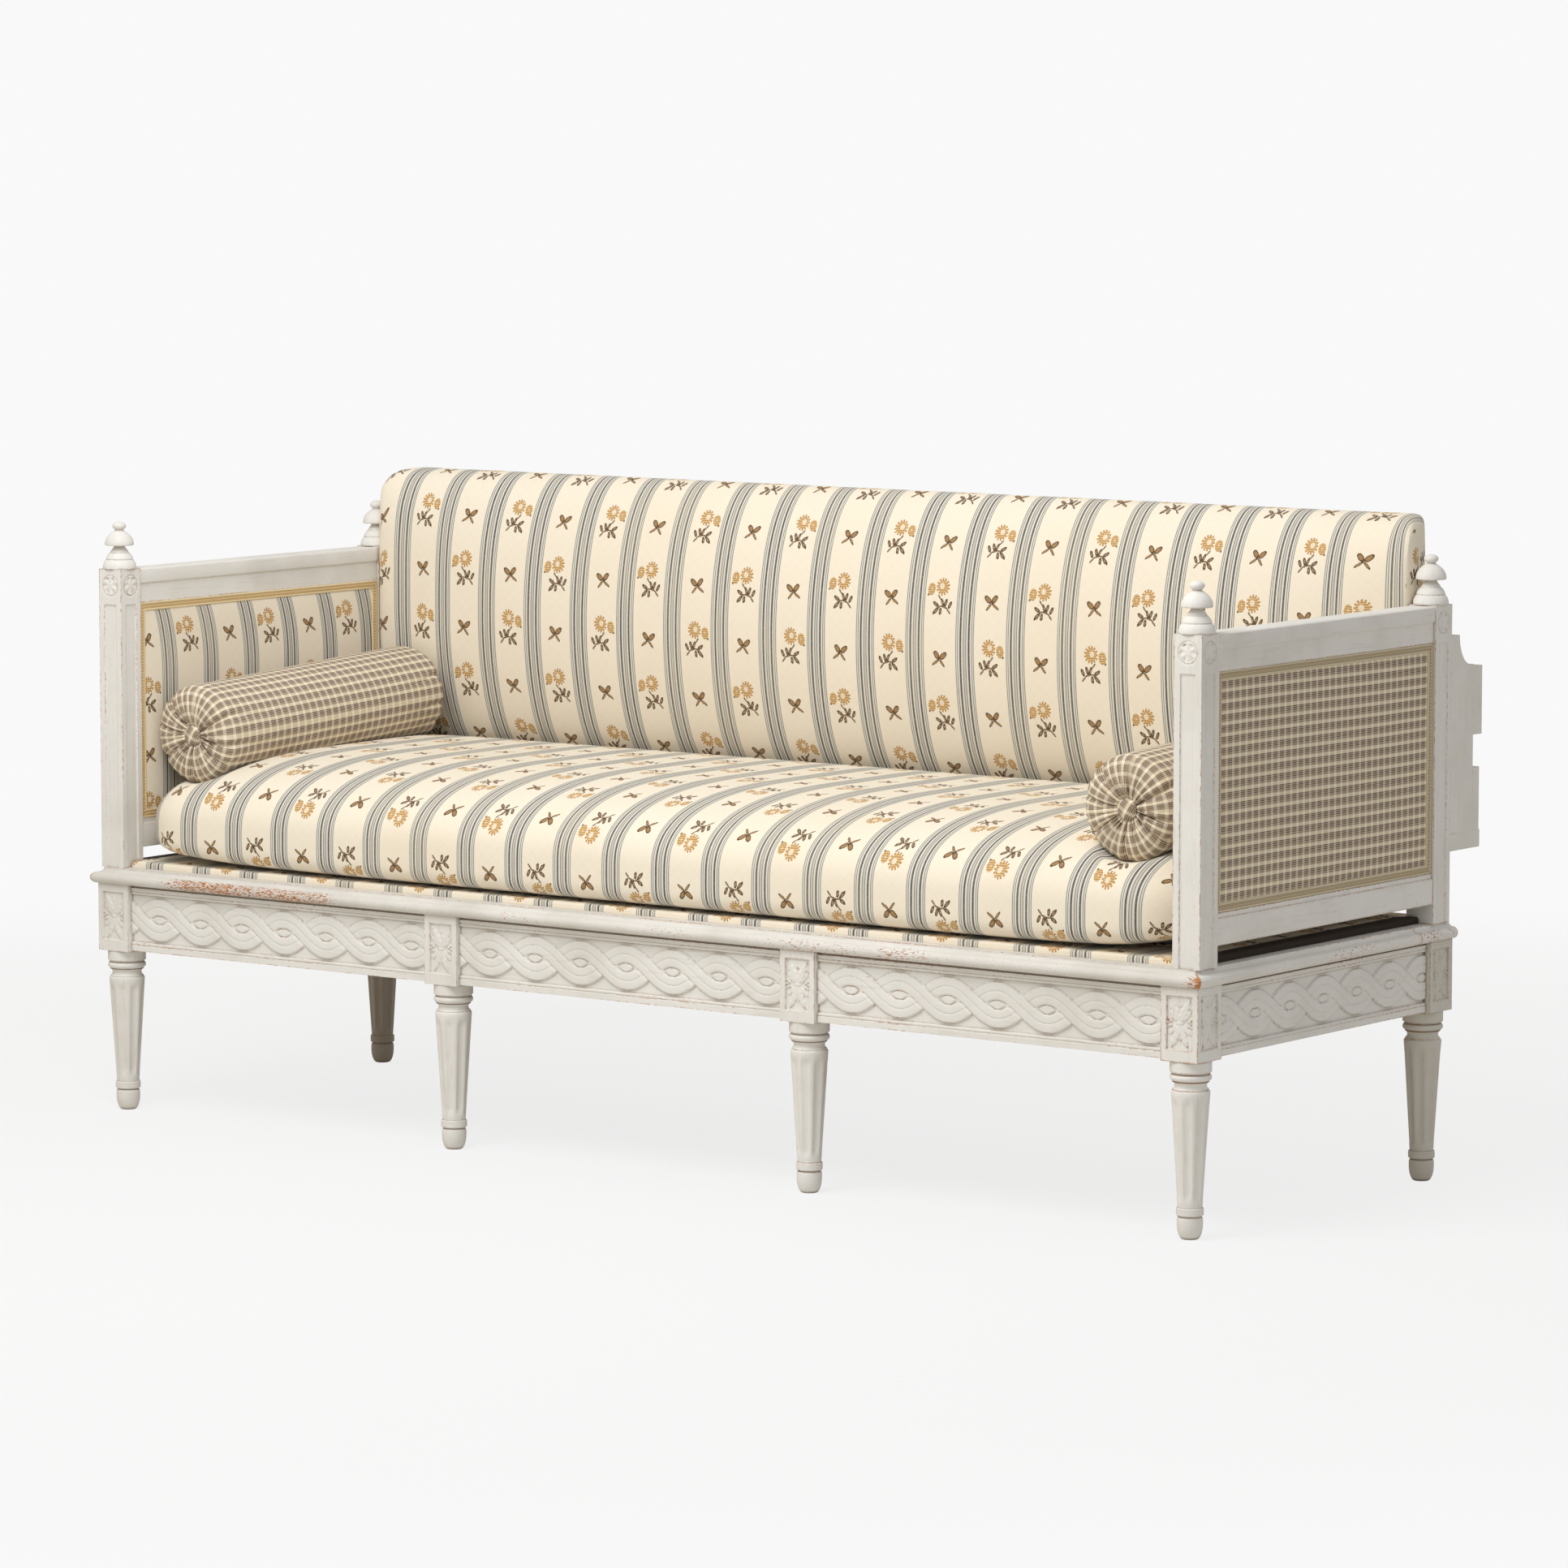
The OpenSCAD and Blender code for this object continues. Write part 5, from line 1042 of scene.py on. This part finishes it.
def pressed_by_bolsters(co):
    """The seat gives way under both bolsters, and stays 0.8 mm clear of them."""
    co = co.copy()
    for x in bolster_xs.values():
        gone = co[:, 1] - bolster_start
        axis_z = bolster_z + gone * math.tan(bolster_tilt)
        past = np.maximum(np.maximum(0.012 - gone, gone - bolster_l + 0.012), 0)
        r = bolster_r + 0.0008
        side = np.clip(np.abs(co[:, 0] - x), 0, r)
        under = axis_z - np.sqrt(r * r - side * side) / math.cos(bolster_tilt) + past ** 2 / 0.05
        near = (np.abs(co[:, 0] - x) < r) & (co[:, 2] > seat_side)
        top = co[:, 2]
        soft = 0.004  # width of the smooth join between the hollow and the cushion
        lower = np.minimum(under, top) - soft * np.exp(-np.abs(under - top) / soft) * 0.5
        co[:, 2] = np.where(near, np.minimum(lower, top), top)
    return co


# Half lengths and middle heights in millimetres, and how far the filled cases may reach in metres
seat_half, seat_middle, seat_reach, seat_bottom = 950.5, 444, 0.9528, 0.38400
back_half, shelf_top, back_middle, back_reach = 953.0, 501.3, 227.0, 0.9532


def seat_ring(x):
    """Section of the seat cushion: flat below, crowned above, and rounded most in front."""
    half = seat_half
    a = np.radians(np.arange(-30, 330, 0.5))
    c, s = np.cos(a), np.sin(a)
    back, low = c > 0, s < 0
    depth = np.where(back, 322.0 - corner_draw(x, half, 45), 319.5 - corner_draw(x, half, 95))
    n = np.where(low, 9.0, np.where(back, 6.0, 2.6))
    y = np.sign(c) * np.abs(c) ** (2 / n) * depth
    fall = np.where(low, np.where(back, 20.0, 9.0), 17.0)
    tall = np.where(low, 59.0, 101.5)
    full = np.maximum(0, 1 - np.abs(x / half) ** fall) ** np.where(low, np.where(back, 0.1, 0.3), 0.385)
    z = seat_middle + np.sign(s) * np.abs(s) ** (2 / n) * tall * full
    return even_ring(np.column_stack([np.full_like(y, x), y - shift, z]), 104)


rings = np.array([seat_ring(x) for x in end_places(seat_half, 178)])
run, round_it = cloth_places(rings)
uvs = np.stack([-(run + 20.6) * 1.01, round_it - 48 + 9 * ease(rings[..., 2], 450, 520)], -1) / 1000
rings, uvs = with_flat_ends(rings, uvs)
seat = skin("seat_case", rings[:, :-1] / 1000, cloth, uvs, sharp=75)
# The ends of the seat case are dark brown painted shade, as under the arms
seat.data.materials.append(painted_shade_cloth)
for face in seat.data.polygons:
    face.material_index = int(abs(face.center[0]) > 0.9502)
swell(seat, 4.0, 0.0022)
kept_in(seat, pressed_by_bolsters)
kept_in(seat, lambda co: np.column_stack([np.clip(co[:, 0], -seat_reach, seat_reach), co[:, 1],
                                          np.maximum(co[:, 2], seat_bottom)]))
finer(seat)
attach(seat, "seat_cushion")
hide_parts("seat_cushion")


def back_ring(x):
    """Section of the back cushion. Its rear corners are rounded off, so the line between face and rear
    comes forward there."""
    half, low, tall = back_half, shelf_top, back_middle
    share = (abs(x) / half) ** 8
    rear_edge = 389.0 - corner_draw(np.array(x), half, 85)
    rise = tall - 0.8 * corner_draw(np.array(x), half, 30)

    def line(up):
        return 370 + min(0, rear_edge - 378) * np.where(up < 0, 1 - np.maximum(-up, 0) ** 0.6, 1)

    def face(up):
        n = np.where(up > 0, 2 + 3 * share, 2.0)
        front = 277.0 - 2 * share + corner_draw(np.array(x), half, 5)
        return line(up) - (line(up) - front) * np.maximum(1 - np.abs(up) ** n, 0) ** (1 / n)

    up = np.sin(np.radians(np.linspace(-80, 80, 200)))
    over = np.where(up > 0.1, 14 * (1 - share) * ease(up, 0.02, 0.12), 0)
    rear = line(up) + (rear_edge - line(up) + over) * (1 - np.abs(up) ** 5) ** 0.2
    rear = np.column_stack([np.maximum(rear, face(up) + 8), low + tall + up * rise])
    up = np.sin(np.radians(np.linspace(89, -89, 260)))
    both = np.vstack([rear, np.column_stack([face(up), low + tall + up * rise])])
    return even_ring(np.column_stack([np.full(len(both), x), both[:, 0] - shift, both[:, 1]]), 92)


rings = np.array([back_ring(x) for x in end_places(back_half, 178)])
run, round_it = cloth_places(rings)
middle = rings[len(rings) // 2]
front_line = int(np.argmin(middle[:, 1]))
# The cloth is drawn out towards both ends
stretch = 21 * ease(run, 845, 953) + 13 * ease(-run, 780, 900)
uvs = np.stack([run * 0.993 - 3.5 - stretch,
                middle[front_line, 2] - 4.4 - round_it + round_it[0, front_line]], -1) / 1000
rings, uvs = with_flat_ends(rings, uvs)
back = skin("back_case", rings[:, :-1] / 1000, cloth, uvs, sharp=75)
swell(back, 4.0, 0.0018)
kept_in(back, lambda co: np.column_stack([np.clip(co[:, 0], -back_reach, back_reach), co[:, 1:]]))
finer(back)
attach(back, "back_cushion")
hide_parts("back_cushion")

# Bolsters: long rolls of wadding in the checked cloth. The cloth is gathered in pleats at both ends
# and drawn in under a covered button, and a few of the pleats run on along the roll.
# The buttons start 10.2 mm in from the roll's ends. Each deep fold has its place round the roll in
# radians, its strength, and how far it runs on.
button_at = 10.2
deep_folds = ((0.42, 1.0, 0.9), (-0.20, 0.9, 1.0), (-0.62, 0.7, 0.5), (1.35, 0.5, 0.3),
              (2.25, 0.8, 0.5), (2.95, 0.6, 0.3), (3.75, 0.9, 0.5), (4.70, 0.6, 0.4))


def on_bolster(x, depth, side):
    """Points of the bolster at x, by millimetres along its axis and metres out from the axis."""
    return (np.array([x, bolster_start, bolster_z]) + depth[:, None] / 1000 * bolster_way
            + side[:, :1] * np.array([1, 0, 0])
            + side[:, 1:] * np.array([0, -bolster_way[2], bolster_way[1]]))


def bolster_rings(x):
    """Rings from the middle of one end over the rim and along the roll to the other end."""
    half = [(0.4, 10), (6, 10), (12, 9.8), (15, 9.0), (17.5, 7.0), (20, 5.2), (24, 3.6), (28, 2.6),
            (32, 1.9), (36, 1.5), (40, 1.4), (44, 1.6), (48, 2.0), (52, 2.8), (56, 3.4), (60, 4.4),
            (63.5, 5.8), (66.5, 7.4), (69.2, 9.4), (71.4, 11.8), (73.2, 14.6), (74.5, 18.2), (75.3, 23),
            (75.6, 30), (75.7, 37)]
    whole = bolster_l * 1000
    outline = half + [(75.7, z) for z in np.linspace(44, 490, 75)] + [(r, whole - z) for r, z in half[::-1]]
    turn = np.radians(np.arange(289) * 1.25)
    crease = 11 * (turn + 0.10 * np.sin(3 * turn + 1) + 0.05 * np.sin(7 * turn + 40 * x))
    pleat = 1 - np.abs(np.cos(crease)) ** 0.55
    around = bolster_r * 1000
    local = (crease - np.round(crease / np.pi) * np.pi) / 11
    steps = np.diff(np.array(outline), axis=0)
    run = np.concatenate([[0], np.cumsum(np.hypot(steps[:, 0], steps[:, 1]))])
    rings, uvs = [], []
    for (r, z), u in zip(outline, run):
        end = 1 if z < whole / 2 else -1
        gone = min(z, whole - z)
        fold = np.zeros_like(turn)
        for where, strength, length in deep_folds:
            gap = (turn - where - 0.06 * math.sin(gone / 17 + where) + np.pi) % (2 * np.pi) - np.pi
            reach = math.exp(-max(0.0, gone - 14) / (12 + 38 * length))
            fold += strength * reach * np.exp(-(gap / 0.055) ** 2)
        grip = min(1.0, max(0.0, (r - 11) / 6)) * (gone < 60)
        draw = grip * (3.4 * math.exp(-((r - 22) / 22) ** 2) + 0.9) * math.exp(-max(0.0, gone - 6) / 9)
        fade = math.exp(-max(0.0, gone - 8) / 15) * min(1.0, max(0.0, (r - 50) / 20))
        radius = r - 1.8 * pleat * fade - 5.2 * fold * min(1.0, max(0.0, (r - 45) / 25))
        radius += 0.35 * np.sin(2 * turn + z / 90) * min(1, gone / 60)
        depth = z + end * (pleat * draw + 6.8 * fold * grip * math.exp(-max(0.0, gone - 8) / 10))
        side = np.stack([np.cos(turn) * radius, np.sin(turn) * radius], -1)[:-1] / 1000
        rings.append(on_bolster(x, depth[:-1], side))
        places = around * turn - local * (around - min(r * 1.3, around))
        uvs.append(np.stack([np.full_like(places, u), places], -1) / 1000)
    return np.array(rings), np.array(uvs)


for side, x in bolster_xs.items():
    rings, uvs = bolster_rings(x)
    bolster = skin(side + "_roll", rings, check, uvs, sharp=80)
    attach(bolster, side + "_bolster")
    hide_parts(side + "_bolster")
    # Covered buttons: a dome of the same cloth with the folds that its gathering leaves
    domes = []
    for end, way in ((button_at, -1), (bolster_l * 1000 - button_at, 1)):
        turn = np.radians(np.arange(72) * 5)
        rings, uvs = [], []
        for r, h in ((14.9, -0.2), (15.4, 1.6), (15.1, 3.6), (14.0, 5.8), (11.8, 7.4), (8.9, 8.5),
                     (5.4, 9.1), (2, 9.3), (0.2, 9.3)):
            radius = r + 0.45 * np.sin(9 * turn) * (r > 12)
            out = np.stack([np.cos(turn) * radius, np.sin(turn) * radius], -1) / 1000
            lift = h + 0.5 * np.sin(3 * turn + 0.4) * (2 < r < 12)
            rings.append(on_bolster(x, end + way * lift, out))
            slanted = np.stack([out[:, 0] * 0.5 + out[:, 1] * 0.87,
                                out[:, 1] * 0.5 - out[:, 0] * 0.87], -1)
            uvs.append(np.vstack([slanted, slanted[:1]]) + 0.004)
        domes.append(skin("button", np.array(rings), check, np.array(uvs), sharp=70))
    buttons = joined(side + "_covered_buttons", domes)
    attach(buttons, side + "_bolster")
    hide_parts(side + "_bolster_buttons")
